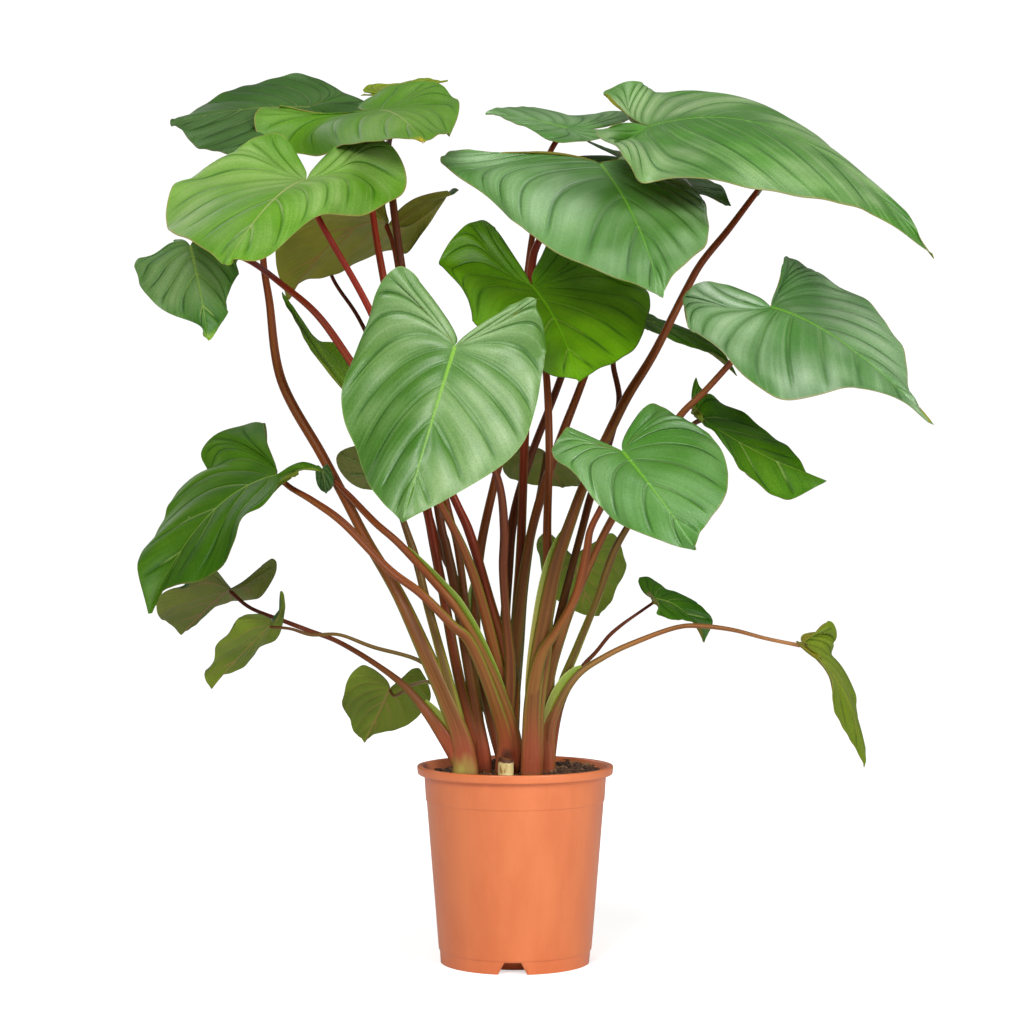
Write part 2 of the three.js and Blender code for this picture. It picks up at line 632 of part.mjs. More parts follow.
function normalsOf(points, faces) {
  const normals = points.map(() => new THREE.Vector3());
  faces.forEach(([i, j, k]) => {
    const edge = points[j].clone().sub(points[i]);
    const face = edge.cross(points[k].clone().sub(points[i]));
    [i, j, k].forEach((v) => normals[v].add(face));
  });
  return normals.map((n) => n.normalize());
}

// A blade: rows of points run from the midrib out to the rim, the first row along the edge of the sinus
function bladeOf(leaf, number) {
  const { rows = 10, steps = 4, wave = 3 } = leaf;
  const surface = surfaceOf(leaf);
  const points = [];
  const ripples = [];
  const add = (a, w, ripple, shift = [0, 0, 0]) => {
    points.push(surface(a, w).add(new THREE.Vector3(...shift)));
    ripples.push(ripple);
    return points.length - 1;
  };
  const rims = Array.from({ length: rows + 1 }, (_, j) => (
    along(halfOutline, (sinusEnd + ((lastStation - sinusEnd) * j) / rows) / lastStation)
  ));
  const starts = rims.map(([a]) => (a > 0.1 ? a ** veinLean : 0));
  const attach = add(0, 0, 0);
  const spine = starts.map((a) => (a === 0 ? attach : add(a, 0, 0)));
  const faces = [];
  const edges = [-1, 1].map((hand) => {
    const shiftAt = rimShift(leaf, surface, hand);
    const grid = rims.map(([a, w], j) => Array.from({ length: steps + 1 }, (_, i) => {
      const f = i / steps;
      if (i === 0 || j === rows) {
        return spine[j];
      }
      const crease = pleatDepth * 4 * f * (1 - f) * (j % 2 ? 1 : -1);
      const flutter = wave * f ** 3 * Math.sin(j * rippleTurn + number * rippleShift + hand);
      if (j === 0) {
        const [sa, sw] = along(halfOutline, (sinusEnd * f) / lastStation);
        return add(sa, hand * sw, flutter, shiftAt(sinusEnd * f).toArray());
      }
      const shift = shiftAt(sinusEnd + (lastStation - sinusEnd) * (j / rows)).multiplyScalar(f ** 1.5);
      return add(starts[j] + (a - starts[j]) * f, hand * w * f, crease + flutter, shift.toArray());
    }));
    for (let j = 0; j < rows; j += 1) {
      for (let i = 0; i < steps; i += 1) {
        const quad = [grid[j][i], grid[j + 1][i], grid[j + 1][i + 1], grid[j][i + 1]];
        const cut = [[0, 1, 2], [0, 2, 3]].map((t) => t.map((k) => quad[k]));
        cut.filter(([p, q, r]) => p !== q && q !== r && p !== r)
          .forEach(([p, q, r]) => faces.push(hand > 0 ? [p, q, r] : [p, r, q]));
      }
    }
    return [...grid[0].slice(1), ...grid.slice(1, rows).map((row) => row[steps])];
  });
  const rest = normalsOf(points, faces);
  points.forEach((p, n) => p.addScaledVector(rest[n], ripples[n]));
  const normals = normalsOf(points, faces);
  const edge = [attach, ...edges[1], spine[rows], ...edges[0].reverse()];
  return thickened(points, normals, faces, edge);
}

// A closed solid of even thickness about a surface with the given edge
function thickened(points, normals, faces, edge) {
  const count = points.length;
  const upper = points.map((p, n) => p.clone().addScaledVector(normals[n], bladeThickness / 2).toArray());
  const lower = points.map((p, n) => p.clone().addScaledVector(normals[n], -bladeThickness / 2).toArray());
  const closed = faces.flatMap(([p, q, r]) => [[p, q, r], [p + count, r + count, q + count]]);
  edge.forEach((p, n) => {
    const q = edge[(n + 1) % edge.length];
    closed.push([p, q, q + count], [p, q + count, p + count]);
  });
  return solidOf([...upper, ...lower], closed);
}

// Where a stalk ends, just clear of the underside of its leaf
function seatUnder(leaf, radius, from) {
  const surface = surfaceOf(leaf);
  const heading = surface(0.05, 0).sub(surface(0, 0)).normalize();
  const across = surface(0.02, 0.05).sub(surface(0.02, -0.05)).normalize();
  const up = heading.clone().cross(across).normalize();
  const seat = surface(0.02, 0);
  const lean = from.clone().sub(seat).normalize().dot(up);
  const reach = radius * Math.sqrt(Math.max(0, 1 - lean * lean));
  return seat.addScaledVector(up, -(bladeThickness / 2 + clearance + reach + seatSlack));
}

// A stalk from under its leaf down into the crown; its lower part widens and flattens into a sheath
function stalkOf({ leaf, girth, path }, crown) {
  const sides = girth[1] < thinStalk ? 6 : 7;
  const [crownX, crownY] = crown;
  const given = path.map(place);
  const points = [
    seatUnder(leaves[leaf], girth[0], given[0]),
    ...given,
    new THREE.Vector3(crownX, crownY, crownTop - 12),
    new THREE.Vector3(crownX, crownY, crownBottom + 20),
  ].map((p) => p.toArray());
  const rings = Math.max(9, Math.round(points.length * 1.25));
  const centres = Array.from({ length: rings + 1 }, (_, n) => (
    new THREE.Vector3(...along(points, n / rings))
  ));
  let sideways = new THREE.Vector3(1, 0, 0);
  const frames = centres.map((_, n) => n).reverse().map((n) => {
    const ahead = centres[Math.max(0, n - 1)].clone().sub(centres[Math.min(rings, n + 1)]).normalize();
    sideways = sideways.clone().addScaledVector(ahead, -sideways.dot(ahead)).normalize();
    return { ahead, sideways, depthways: ahead.clone().cross(sideways) };
  }).reverse();
  const foot = Math.min(girth[2], crown[2] - 1.2);
  const vertices = [];
  centres.forEach((centre, n) => {
    const share = n / rings;
    const thin = girth[0] + (girth[1] - girth[0]) * smooth(share / sheathStart);
    const sheath = smooth((share - sheathStart) / sheathLength);
    const wide = thin + (girth[2] - thin) * sheath;
    const flat = n >= rings - 1 ? foot : wide;
    const deep = Math.min(flat, thin + (girth[2] * sheathFlatness - thin) * sheath);
    for (let k = 0; k < sides; k += 1) {
      const angle = (2 * Math.PI * k) / sides;
      const { sideways: s, depthways: d } = frames[n];
      vertices.push(centre.clone()
        .addScaledVector(s, flat * Math.cos(angle))
        .addScaledVector(d, deep * Math.sin(angle)).toArray());
    }
  });
  const faces = [];
  for (let n = 0; n < rings; n += 1) {
    for (let k = 0; k < sides; k += 1) {
      const a = n * sides + k;
      const b = n * sides + ((k + 1) % sides);
      faces.push([a, a + sides, b + sides], [a, b + sides, b]);
    }
  }
  const last = rings * sides;
  for (let k = 1; k + 1 < sides; k += 1) {
    faces.push([0, k, k + 1], [last, last + k + 1, last + k]);
  }
  return solidOf(vertices, faces);
}

function crownOf([x, y, radius]) {
  const profile = [
    [0, crownBottom], [radius * 0.6, crownBottom], [radius, crownBottom + 14], [radius, soilTop + 8],
    [radius * 0.8, crownTop - 4], [0, crownTop],
  ];
  return turned(profile, crownSides).translate([x, y, 0]);
}

// The hole in the soil that a crown stands in
function holeOf([x, y, radius]) {
  const wide = radius + clearance + holeSlack;
  const profile = [
    [0, crownBottom - clearance], [wide, crownBottom - clearance],
    [wide, rimTop + 40], [0, rimTop + 40],
  ];
  return turned(profile, crownSides).translate([x, y, 0]);
}

function potOf() {
  const rimBottom = rimTop - rimRoll;
  const profile = [
    [0, 0], [standRadius, 0], [standRadius + 2.5, channelHeight], [footRadius - 2.6, channelHeight],
    [footRadius - 2.4, 0], [footRadius, 0], [footRadius + 0.4, footHeight - 0.6],
    [bodyFootRadius, footHeight], [stepRadius - 0.8, stepHeight - 0.6], [stepRadius, stepHeight + 0.4],
    [bodyTopRadius, rimBottom - 0.4], [rimRadius - 0.6, rimBottom],
    [rimRadius, rimTop - 1.4], [rimRadius - 1.2, rimTop], [lipRadius + 1, rimTop],
    [lipRadius, rimTop - 1], [bodyTopRadius - wall, rimBottom - 3], [stepRadius - 0.8 - wall, stepHeight - 1],
    [bodyFootRadius - wall, channelHeight + floorThickness],
    [standRadius, channelHeight + floorThickness], [standRadius - 2.5, floorThickness], [0, floorThickness],
  ];
  let pot = turned(profile, potSides);
  for (let n = 0; n < notches; n += 1) {
    const outline = new wasm.CrossSection([[
      [-notchBottom / 2, -1], [notchBottom / 2, -1],
      [notchTop / 2, notchHeight], [-notchTop / 2, notchHeight],
    ]]);
    const cutter = outline.extrude(12)
      .rotate([90, 0, 0])
      .translate([0, -(footRadius - 9), 0])
      .rotate([0, 0, (360 * n) / notches - 2]);
    pot = pot.subtract(cutter);
  }
  for (let n = 0; n < drainHoles; n += 1) {
    const drill = wasm.Manifold.cylinder(12, drainHoleRadius, drainHoleRadius, 10)
      .translate([(standRadius + footRadius) / 2, 0, channelHeight - 5])
      .rotate([0, 0, (360 * (n + 0.5)) / drainHoles]);
    pot = pot.subtract(drill);
  }
  return pot;
}

function soilOf(holes) {
  const gap = clearance;
  const floor = channelHeight + floorThickness + gap;
  const bump = (x, y, z) => {
    if (z < soilTop - 1) {
      return 0;
    }
    const mound = soilMound * smooth((x * 0.6 + y * 0.5 + 45) / 90);
    const crumbs = 1.3 * Math.sin(x * 0.21 + 1) * Math.cos(y * 0.17) + 0.9 * Math.sin(x * 0.5 - y * 0.43);
    return (mound + crumbs) * smooth((88 - Math.hypot(x, y)) / 12 + 0.25);
  };
  const profile = [
    [0, floorThickness + gap], [standRadius - 2.5 - gap * 1.5, floorThickness + gap],
    [standRadius - gap * 1.5, floor], [bodyFootRadius - wall - 2.4, floor],
    [bodyFootRadius - wall - 0.5, floor + 3], [stepRadius - 0.8 - wall - 0.6, stepHeight - 1],
    [bodyTopRadius - wall - 1, soilTop], [76, soilTop], [62, soilTop], [46, soilTop], [28, soilTop],
    [12, soilTop], [0, soilTop],
  ];
  return holes.reduce((soil, hole) => soil.subtract(hole), turned(profile, soilSides, bump));
}

function stubOf() {
  const { radius, bottom, top, slant } = stub;
  const height = (x, y, z) => (z > top - 1 ? (slant * x) / radius : 0);
  const profile = [
    [0, bottom], [radius * 0.8, bottom], [radius, bottom + 6],
    [radius, top - 12], [radius * 0.93, top], [0, top],
  ];
  return turned(profile, 12, height).translate([stub.across, stub.depth, 0]);
}

const root = new THREE.Group();
root.name = "potted_homalomena";

function addPiece(name, solid, colour, roughness) {
  const material = new THREE.MeshStandardMaterial({ color: colour, roughness, metalness: 0 });
  const mesh = new THREE.Mesh(geometryOf(solid), material);
  mesh.name = name;
  root.add(mesh);
}

const crowns = Object.values(shoots).map(({ crown }) => crown);
const stubCrown = [stub.across, stub.depth, stub.radius];
const holes = [...crowns.map(holeOf), holeOf(stubCrown).translate([0, 0, stub.bottom - crownBottom])];

addPiece("pot", potOf(), potColour, 0.5);
addPiece("soil", soilOf(holes), soilColour, 0.95);
addPiece("rhizome_stub", stubOf(), stubColour, 0.7);
Object.entries(shoots).forEach(([name, { crown, stalks }]) => {
  const whole = stalks.reduce((solid, stalk) => solid.add(stalkOf(stalk, crown)), crownOf(crown));
  addPiece(name, whole, stalkColour, 0.5);
});
Object.entries(leaves).forEach(([name, leaf], number) => {
  const { colour, roughness } = greens[leaf.green];
  addPiece(name, bladeOf(leaf, number), colour, roughness);
});

export default root;
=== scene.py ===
import math

import bpy
import numpy as np
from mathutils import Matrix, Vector, noise


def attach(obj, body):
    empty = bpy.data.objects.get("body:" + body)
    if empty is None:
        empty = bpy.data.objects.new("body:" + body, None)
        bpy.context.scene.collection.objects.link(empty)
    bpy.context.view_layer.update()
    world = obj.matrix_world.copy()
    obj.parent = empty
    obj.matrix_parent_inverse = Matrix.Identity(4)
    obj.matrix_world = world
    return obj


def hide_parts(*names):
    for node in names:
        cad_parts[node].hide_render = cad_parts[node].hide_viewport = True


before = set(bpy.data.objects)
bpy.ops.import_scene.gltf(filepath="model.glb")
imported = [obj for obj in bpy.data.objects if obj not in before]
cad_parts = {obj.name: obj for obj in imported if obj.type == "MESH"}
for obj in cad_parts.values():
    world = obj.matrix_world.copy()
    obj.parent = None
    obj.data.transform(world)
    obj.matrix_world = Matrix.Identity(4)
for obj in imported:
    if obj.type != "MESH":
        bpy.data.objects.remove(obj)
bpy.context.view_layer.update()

mm = 0.001

# places on the plant are (across, depth, height) in millimetres as seen from the front;
# those in front of or behind the pot's axis are moved along the line of sight to their depth
eye = {"across": -3.2, "height": 448.8, "distance": 2370.0}


def place(spot):
    across, depth, height = np.moveaxis(np.asarray(spot, float), -1, 0)
    k = 1 + depth / eye["distance"]
    return np.stack([
        eye["across"] + (across - eye["across"]) * k,
        depth,
        eye["height"] + (height - eye["height"]) * k,
    ], axis=-1)


def smooth(x):
    t = np.clip(x, 0, 1)
    return t * t * (3 - 2 * t)


def mix(a, b, t):
    return a + (b - a) * t


def unit(v):
    return v / np.maximum(np.linalg.norm(v, axis=-1, keepdims=True), 1e-12)


def along(points, share):
    # a point on a smooth curve through the given points, at share 0 to 1 of the way
    p = np.asarray(points, float)
    p = np.vstack([2 * p[0] - p[1], p, 2 * p[-1] - p[-2]])
    spans = len(p) - 3
    u = np.clip(np.asarray(share, float) * spans, 0, spans - 1e-9)
    k = np.floor(u).astype(int)
    t = (u - k)[..., None]
    p0, p1, p2, p3 = p[k], p[k + 1], p[k + 2], p[k + 3]
    return 0.5 * (2 * p1 + (p2 - p0) * t + (2 * p0 - 5 * p1 + 4 * p2 - p3) * t * t
                  + (3 * p1 - 3 * p2 + p3 - p0) * t * t * t)


def wobble(points, size, seed):
    # smooth, repeatable unevenness between -1 and 1 at points in millimetres
    shift = Vector((seed * 17.3, seed * -5.1, seed * 9.7))
    return np.array([noise.noise(Vector(p) / size + shift) for p in points])


def makePiece(name, points, faces, finishes, slotName, nodes, finishOf=None, maps=None, sharp=50):
    # points in millimetres; finishOf gives each face its finish, maps give each face corner its place
    mesh = bpy.data.meshes.new(name)
    mesh.from_pydata((np.asarray(points) * mm).tolist(), [], faces)
    for finish in finishes:
        mesh.materials.append(finish)
    if finishOf is not None:
        mesh.polygons.foreach_set("material_index", np.asarray(finishOf, np.int32))
    for mapName, corners in (maps or {}).items():
        layer = mesh.uv_layers.new(name=mapName)
        layer.uv.foreach_set("vector", np.asarray(corners, np.float32).ravel())
    mesh.polygons.foreach_set("use_smooth", np.ones(len(mesh.polygons), bool))
    mesh.set_sharp_from_angle(angle=math.radians(sharp))
    piece = bpy.data.objects.new(name, mesh)
    bpy.context.scene.collection.objects.link(piece)
    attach(piece, "root")
    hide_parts(*nodes)
    return piece


# node helpers: each adds a node to a tree, feeds its sockets and gives back what it puts out
def feed(tree, socket, value):
    if isinstance(value, bpy.types.NodeSocket):
        tree.links.new(value, socket)
    elif isinstance(value, tuple) and len(value) == 3 and socket.type == "RGBA":
        socket.default_value = (*value, 1)
    else:
        socket.default_value = value


def addNode(tree, kind, inputs=None, **settings):
    node = tree.nodes.new("ShaderNode" + kind)
    for key, value in settings.items():
        setattr(node, key, value)
    for key, value in (inputs or {}).items():
        feed(tree, node.inputs[key], value)
    return node


def sums(tree, operation, a, b=0.0, c=0.0, clamp=False):
    node = addNode(tree, "Math", operation=operation, use_clamp=clamp)
    for socket, value in zip(node.inputs, (a, b, c)):
        feed(tree, socket, value)
    return node.outputs[0]


def rise(tree, value, low, high):
    # 0 below low, 1 above high and smooth between them
    node = addNode(tree, "MapRange", interpolation_type="SMOOTHSTEP")
    for key, given in {"Value": value, "From Min": low, "From Max": high}.items():
        feed(tree, node.inputs[key], given)
    return node.outputs["Result"]


def blend(tree, share, a, b, kind="MIX"):
    node = addNode(tree, "Mix", data_type="RGBA", blend_type=kind)
    for key, given in {0: share, 6: a, 7: b}.items():
        feed(tree, node.inputs[key], given)
    return node.outputs[2]


def stretched(tree, where, scale):
    return addNode(tree, "Mapping", {"Vector": where, "Scale": scale}).outputs[0]


def mottle(tree, where, scale, detail=2.0, rough=0.5):
    given = {"Vector": where, "Scale": scale, "Detail": detail, "Roughness": rough}
    return addNode(tree, "TexNoise", given).outputs["Fac"]


def objectPlace(tree):
    return addNode(tree, "TexCoord").outputs["Object"]


def mapPlace(tree, mapName):
    return addNode(tree, "UVMap", uv_map=mapName).outputs[0]


def parts(tree, where):
    return addNode(tree, "SeparateXYZ", {0: where}).outputs


def newGroup(name, inputs, outputs):
    tree = bpy.data.node_groups.new(name, "ShaderNodeTree")
    for socketName, (kind, value) in inputs.items():
        socket = tree.interface.new_socket(socketName, in_out="INPUT", socket_type="NodeSocket" + kind)
        if kind != "Vector":
            socket.default_value = (*value, 1) if kind == "Color" else value
    for socketName, kind in outputs.items():
        tree.interface.new_socket(socketName, in_out="OUTPUT", socket_type="NodeSocket" + kind)
    return tree, tree.nodes.new("NodeGroupInput").outputs, tree.nodes.new("NodeGroupOutput").inputs


def useGroup(tree, group, inputs):
    node = tree.nodes.new("ShaderNodeGroup")
    node.node_tree = group
    for key, value in inputs.items():
        feed(tree, node.inputs[key], value)
    return node.outputs


def newFinish(name):
    finish = bpy.data.materials.new(name)
    finish.use_nodes = True
    tree = finish.node_tree
    tree.nodes.clear()
    shader = addNode(tree, "BsdfPrincipled")
    out = addNode(tree, "OutputMaterial")
    tree.links.new(shader.outputs[0], out.inputs["Surface"])
    return finish, tree, shader


def raised(tree, height, strength, distance, over=None):
    given = {"Height": height, "Strength": strength, "Distance": distance}
    if over is not None:
        given["Normal"] = over
    return addNode(tree, "Bump", given).outputs[0]


def hue(text):
    # a colour written as on a paint chart, in the linear values that the shader wants
    values = [int(text[n:n + 2], 16) / 255 for n in (1, 3, 5)]
    return tuple(v / 12.92 if v <= 0.04045 else ((v + 0.055) / 1.055) ** 2.4 for v in values)


# shared effects
def buildVeinGroup():
    # where the veins, the swellings between them, the midrib and the margin lie on a leaf
    tree, given, out = newGroup("leafVeins", {
        "Way": ("Vector", None), "Plan": ("Vector", None), "Crease Width": ("Float", 0.11),
        "Rib": ("Float", 1.6),
    }, {"Crease": "Float", "Swelling": "Float", "Vein Line": "Float", "Fine Veins": "Float",
        "Midrib": "Float",
        "Margin": "Float", "Along": "Float", "Out": "Float"})
    number, reach, _ = parts(tree, given["Way"])
    plan = parts(tree, given["Plan"])
    inside = sums(tree, "MULTIPLY", rise(tree, reach, 0.0, 0.1),
                  sums(tree, "SUBTRACT", 1.0, rise(tree, reach, 0.8, 0.99)))
    toVein = sums(tree, "PINGPONG", number, 0.5)
    crease = sums(tree, "SUBTRACT", 1.0, rise(tree, toVein, 0.0, given["Crease Width"]))
    tree.links.new(sums(tree, "MULTIPLY", crease, inside), out["Crease"])
    tree.links.new(sums(tree, "MULTIPLY", rise(tree, toVein, 0.05, 0.5), inside), out["Swelling"])
    line = sums(tree, "SUBTRACT", 1.0, rise(tree, toVein, 0.02, 0.06))
    whole = sums(tree, "ROUND", number)
    chance = addNode(tree, "TexWhiteNoise", {"W": whole}, noise_dimensions="1D").outputs["Value"]
    ending = sums(tree, "MULTIPLY_ADD", chance, 0.6, 0.3)
    fading = sums(tree, "SUBTRACT", 1.0, rise(tree, reach, sums(tree, "SUBTRACT", ending, 0.3), ending))
    tree.links.new(sums(tree, "MULTIPLY", line, fading), out["Vein Line"])
    toFine = sums(tree, "PINGPONG", sums(tree, "MULTIPLY", number, 5.0), 0.5)
    fine = sums(tree, "SUBTRACT", 1.0, rise(tree, toFine, 0.0, 0.3))
    tree.links.new(fine, out["Fine Veins"])
    half = sums(tree, "MULTIPLY", given["Rib"], sums(tree, "SUBTRACT", 1.15, plan[0]))
    aside = sums(tree, "ABSOLUTE", plan[1])
    rib = sums(tree, "SUBTRACT", 1.0, rise(tree, aside, sums(tree, "MULTIPLY", half, 0.45), half))
    tree.links.new(sums(tree, "MULTIPLY", rib, rise(tree, plan[0], -0.02, 0.01)), out["Midrib"])
    tree.links.new(rise(tree, reach, 0.984, 0.998), out["Margin"])
    tree.links.new(plan[0], out["Along"])
    tree.links.new(reach, out["Out"])
    return tree


def buildSpeckGroup():
    # scattered small specks: dust, scars and water marks
    tree, given, out = newGroup("specks", {
        "Where": ("Vector", None), "Scale": ("Float", 60.0), "Size": ("Float", 0.06),
        "Share": ("Float", 0.2),
    }, {"Specks": "Float"})
    cells = addNode(tree, "TexVoronoi", {"Vector": given["Where"], "Scale": given["Scale"]})
    dot = sums(tree, "SUBTRACT", 1.0, rise(tree, cells.outputs["Distance"], 0.0, given["Size"]))
    pick = parts(tree, cells.outputs["Color"])[0]
    chosen = sums(tree, "LESS_THAN", pick, given["Share"])
    tree.links.new(sums(tree, "MULTIPLY", dot, chosen), out["Specks"])
    return tree


veinGroup = buildVeinGroup()
speckGroup = buildSpeckGroup()

# leaf finishes: ground colour, a painted satin sheen on the swellings, creases darkened with painted shade,
# pale veins, rib and margin
leafFinishes = {
    "pale": {"ground": "#527e28", "shade": "#3e701a", "paintedSatinSheen": "#9fba84", "paintedSheenShare": 0.58,
             "crease": "#2a5f16", "veins": "#98c274", "veinShare": 0.22, "rib": "#7cb02c",
             "margin": "#7f9a48", "gloss": 0.38, "shine": 0.5},
    "deep": {"ground": "#5c9602", "shade": "#427602", "paintedSatinSheen": "#7ca814", "paintedSheenShare": 0.3,
             "crease": "#275002", "veins": "#86b030", "veinShare": 0.5, "rib": "#74b40c",
             "margin": "#3c3010", "gloss": 0.45, "shine": 0.25},
    "paintedSatinSheen": {"ground": "#4c8628", "shade": "#3e761c", "paintedSatinSheen": "#93b582", "paintedSheenShare": 0.5,
              "crease": "#265a10", "veins": "#8fb670", "veinShare": 0.22, "rib": "#74b42e",
              "margin": "#9a8448", "gloss": 0.36, "shine": 0.9},
    "fresh": {"ground": "#61951c", "shade": "#528614", "paintedSatinSheen": "#92b25c", "paintedSheenShare": 0.4,
              "crease": "#346a08", "veins": "#a2b274", "veinShare": 0.4, "rib": "#aeb070",
              "margin": "#a8864c", "gloss": 0.45, "shine": 0.25},
    "dark": {"ground": "#335f14", "shade": "#284e0e", "paintedSatinSheen": "#587c3c", "paintedSheenShare": 0.35,
             "crease": "#1b3808", "veins": "#6f8f48", "veinShare": 0.5, "rib": "#6a7c38",
             "margin": "#5c5c30", "gloss": 0.42, "shine": 0.4},
    "shade": {"ground": "#447a06", "shade": "#2f5e04", "paintedSatinSheen": "#6e9a26", "paintedSheenShare": 0.35,
              "crease": "#214a04", "veins": "#8cae50", "veinShare": 0.6, "rib": "#8cac48",
              "margin": "#6b6430", "gloss": 0.45, "shine": 0.15},
    "yellowed": {"ground": "#748a10", "shade": "#5c7408", "paintedSatinSheen": "#94a63a", "paintedSheenShare": 0.35,
                 "crease": "#4a5c08", "veins": "#a4a83a", "veinShare": 0.5, "rib": "#cabc2c",
                 "margin": "#8c8434", "gloss": 0.46, "shine": 0.2},
}
undersides = {
    "olive": {"ground": "#82821e", "shade": "#6c7218", "veins": "#8a8034", "rib": "#8c6832", "gloss": 0.55},
    "greenish": {"ground": "#6c8018", "shade": "#5a7012", "veins": "#7c8c36", "rib": "#8c7a3c",
                 "gloss": 0.55},
    "greyish": {"ground": "#6a7426", "shade": "#5a661e", "veins": "#7c8440", "rib": "#8a6a42",
                "gloss": 0.55},
}


def leafTop(name, tint, tip=None, tipFrom=0.93):
    finish, tree, shader = newFinish("leaf" + name[0].upper() + name[1:])
    where = objectPlace(tree)
    way = mapPlace(tree, "leafWay")
    veins = useGroup(tree, veinGroup, {"Way": way, "Plan": mapPlace(tree, "leafPlan"), "Rib": 2.0})
    patches = mottle(tree, where, 14.0, 3.0)
    streaks = mottle(tree, stretched(tree, way, (1.3, 1.0, 1.0)), 1.6, 2.0)
    silk = mottle(tree, stretched(tree, way, (7.0, 0.8, 1.0)), 1.0, 2.0)
    ground = blend(tree, rise(tree, patches, 0.35, 0.7), hue(tint["shade"]), hue(tint["ground"]))
    # painted sheen: broad patches of the pale sheen colour laid over the swellings between the veins
    broad = rise(tree, mottle(tree, where, 9.0, 2.0), 0.36, 0.62)
    paintedSheenMask = sums(tree, "MULTIPLY", sums(tree, "MULTIPLY_ADD", veins["Swelling"], 0.55, 0.45), broad)
    paintedSheenMask = sums(tree, "MULTIPLY", paintedSheenMask, tint["paintedSheenShare"])
    colour = blend(tree, paintedSheenMask, ground, hue(tint["paintedSatinSheen"]))
    # painted sheen in fine pale lines along the veins
    paintedSheenMask = sums(tree, "MULTIPLY", rise(tree, silk, 0.5, 0.72), tint["paintedSheenShare"])
    colour = blend(tree, sums(tree, "MULTIPLY", paintedSheenMask, 0.3), colour, hue(tint["paintedSatinSheen"]))
    # faint painted shade in fine dark lines between them, in the crease colour
    darker = sums(tree, "SUBTRACT", 1.0, rise(tree, silk, 0.3, 0.46))
    colour = blend(tree, sums(tree, "MULTIPLY", darker, 0.16), colour, hue(tint["crease"]))
    # painted shade: the creases along the veins are darkened, more in some streaks than in others
    depth = sums(tree, "MULTIPLY_ADD", rise(tree, streaks, 0.3, 0.6), 0.5, 0.25)
    colour = blend(tree, sums(tree, "MULTIPLY", veins["Crease"], depth), colour, hue(tint["crease"]))
    colour = blend(tree, sums(tree, "MULTIPLY", veins["Vein Line"], tint["veinShare"]), colour,
                   hue(tint["veins"]))
    ribShare = sums(tree, "MULTIPLY_ADD", veins["Along"], -0.5, 0.85)
    colour = blend(tree, sums(tree, "MULTIPLY", veins["Midrib"], ribShare), colour, hue(tint["rib"]))
    if tip:
        atTip = rise(tree, veins["Along"], tipFrom, min(1.02, tipFrom + 0.12))
        colour = blend(tree, atTip, colour, hue(tip))
    colour = blend(tree, sums(tree, "MULTIPLY", veins["Margin"], 0.55), colour, hue(tint["margin"]))
    grain = mottle(tree, where, 620.0, 2.0)
    dull = blend(tree, 1.0, colour, (0.7, 0.72, 0.7), "MULTIPLY")
    colour = blend(tree, sums(tree, "MULTIPLY", rise(tree, grain, 0.42, 0.62), 0.55), colour, dull)
    specks = useGroup(tree, speckGroup, {"Where": where, "Scale": 55.0, "Size": 0.055, "Share": 0.05})
    colour = blend(tree, sums(tree, "MULTIPLY", specks["Specks"], 0.7), colour, hue("#e4dfbf"))
    feed(tree, shader.inputs["Base Color"], colour)
    gloss = sums(tree, "MULTIPLY_ADD", patches, 0.14, tint["gloss"] - 0.07)
    feed(tree, shader.inputs["Roughness"], gloss)
    relief = sums(tree, "MULTIPLY_ADD", silk, 0.9, sums(tree, "MULTIPLY", grain, 0.5))
    fine = raised(tree, relief, 0.4, 0.0007)
    folds = sums(tree, "MULTIPLY_ADD", veins["Crease"], -1.0,
                 sums(tree, "MULTIPLY", veins["Vein Line"], 0.5))
    feed(tree, shader.inputs["Normal"], raised(tree, folds, 0.6, 0.0014, fine))
    shader.inputs["Specular IOR Level"].default_value = tint["shine"]
    return finish


def leafUnder(name, tint):
    finish, tree, shader = newFinish("underside" + name[0].upper() + name[1:])
    where = objectPlace(tree)
    veins = useGroup(tree, veinGroup, {
        "Way": mapPlace(tree, "leafWay"), "Plan": mapPlace(tree, "leafPlan"), "Crease Width": 0.12,
        "Rib": 2.0,
    })
    patches = mottle(tree, where, 18.0, 3.0)
    colour = blend(tree, rise(tree, patches, 0.35, 0.65), hue(tint["shade"]), hue(tint["ground"]))
    colour = blend(tree, sums(tree, "MULTIPLY", veins["Fine Veins"], 0.25), colour, hue(tint["veins"]))
    nearStalk = sums(tree, "SUBTRACT", 1.0, rise(tree, veins["Out"], 0.1, 0.7))
    pink = sums(tree, "MULTIPLY", veins["Crease"], sums(tree, "MULTIPLY_ADD", nearStalk, 0.6, 0.25))
    colour = blend(tree, pink, colour, hue(tint["rib"]))
    colour = blend(tree, veins["Midrib"], colour, hue(tint["rib"]))
    feed(tree, shader.inputs["Base Color"], colour)
    feed(tree, shader.inputs["Roughness"], sums(tree, "MULTIPLY_ADD", patches, 0.16, tint["gloss"] - 0.08))
    relief = sums(tree, "MULTIPLY_ADD", veins["Fine Veins"], 0.4, mottle(tree, where, 700.0, 2.0))
    feed(tree, shader.inputs["Normal"], raised(tree, relief, 0.3, 0.0006))
    shader.inputs["Specular IOR Level"].default_value = 0.25
    return finish


underFinishes = {name: leafUnder(name, tint) for name, tint in undersides.items()}
print("leaf finishes ready")

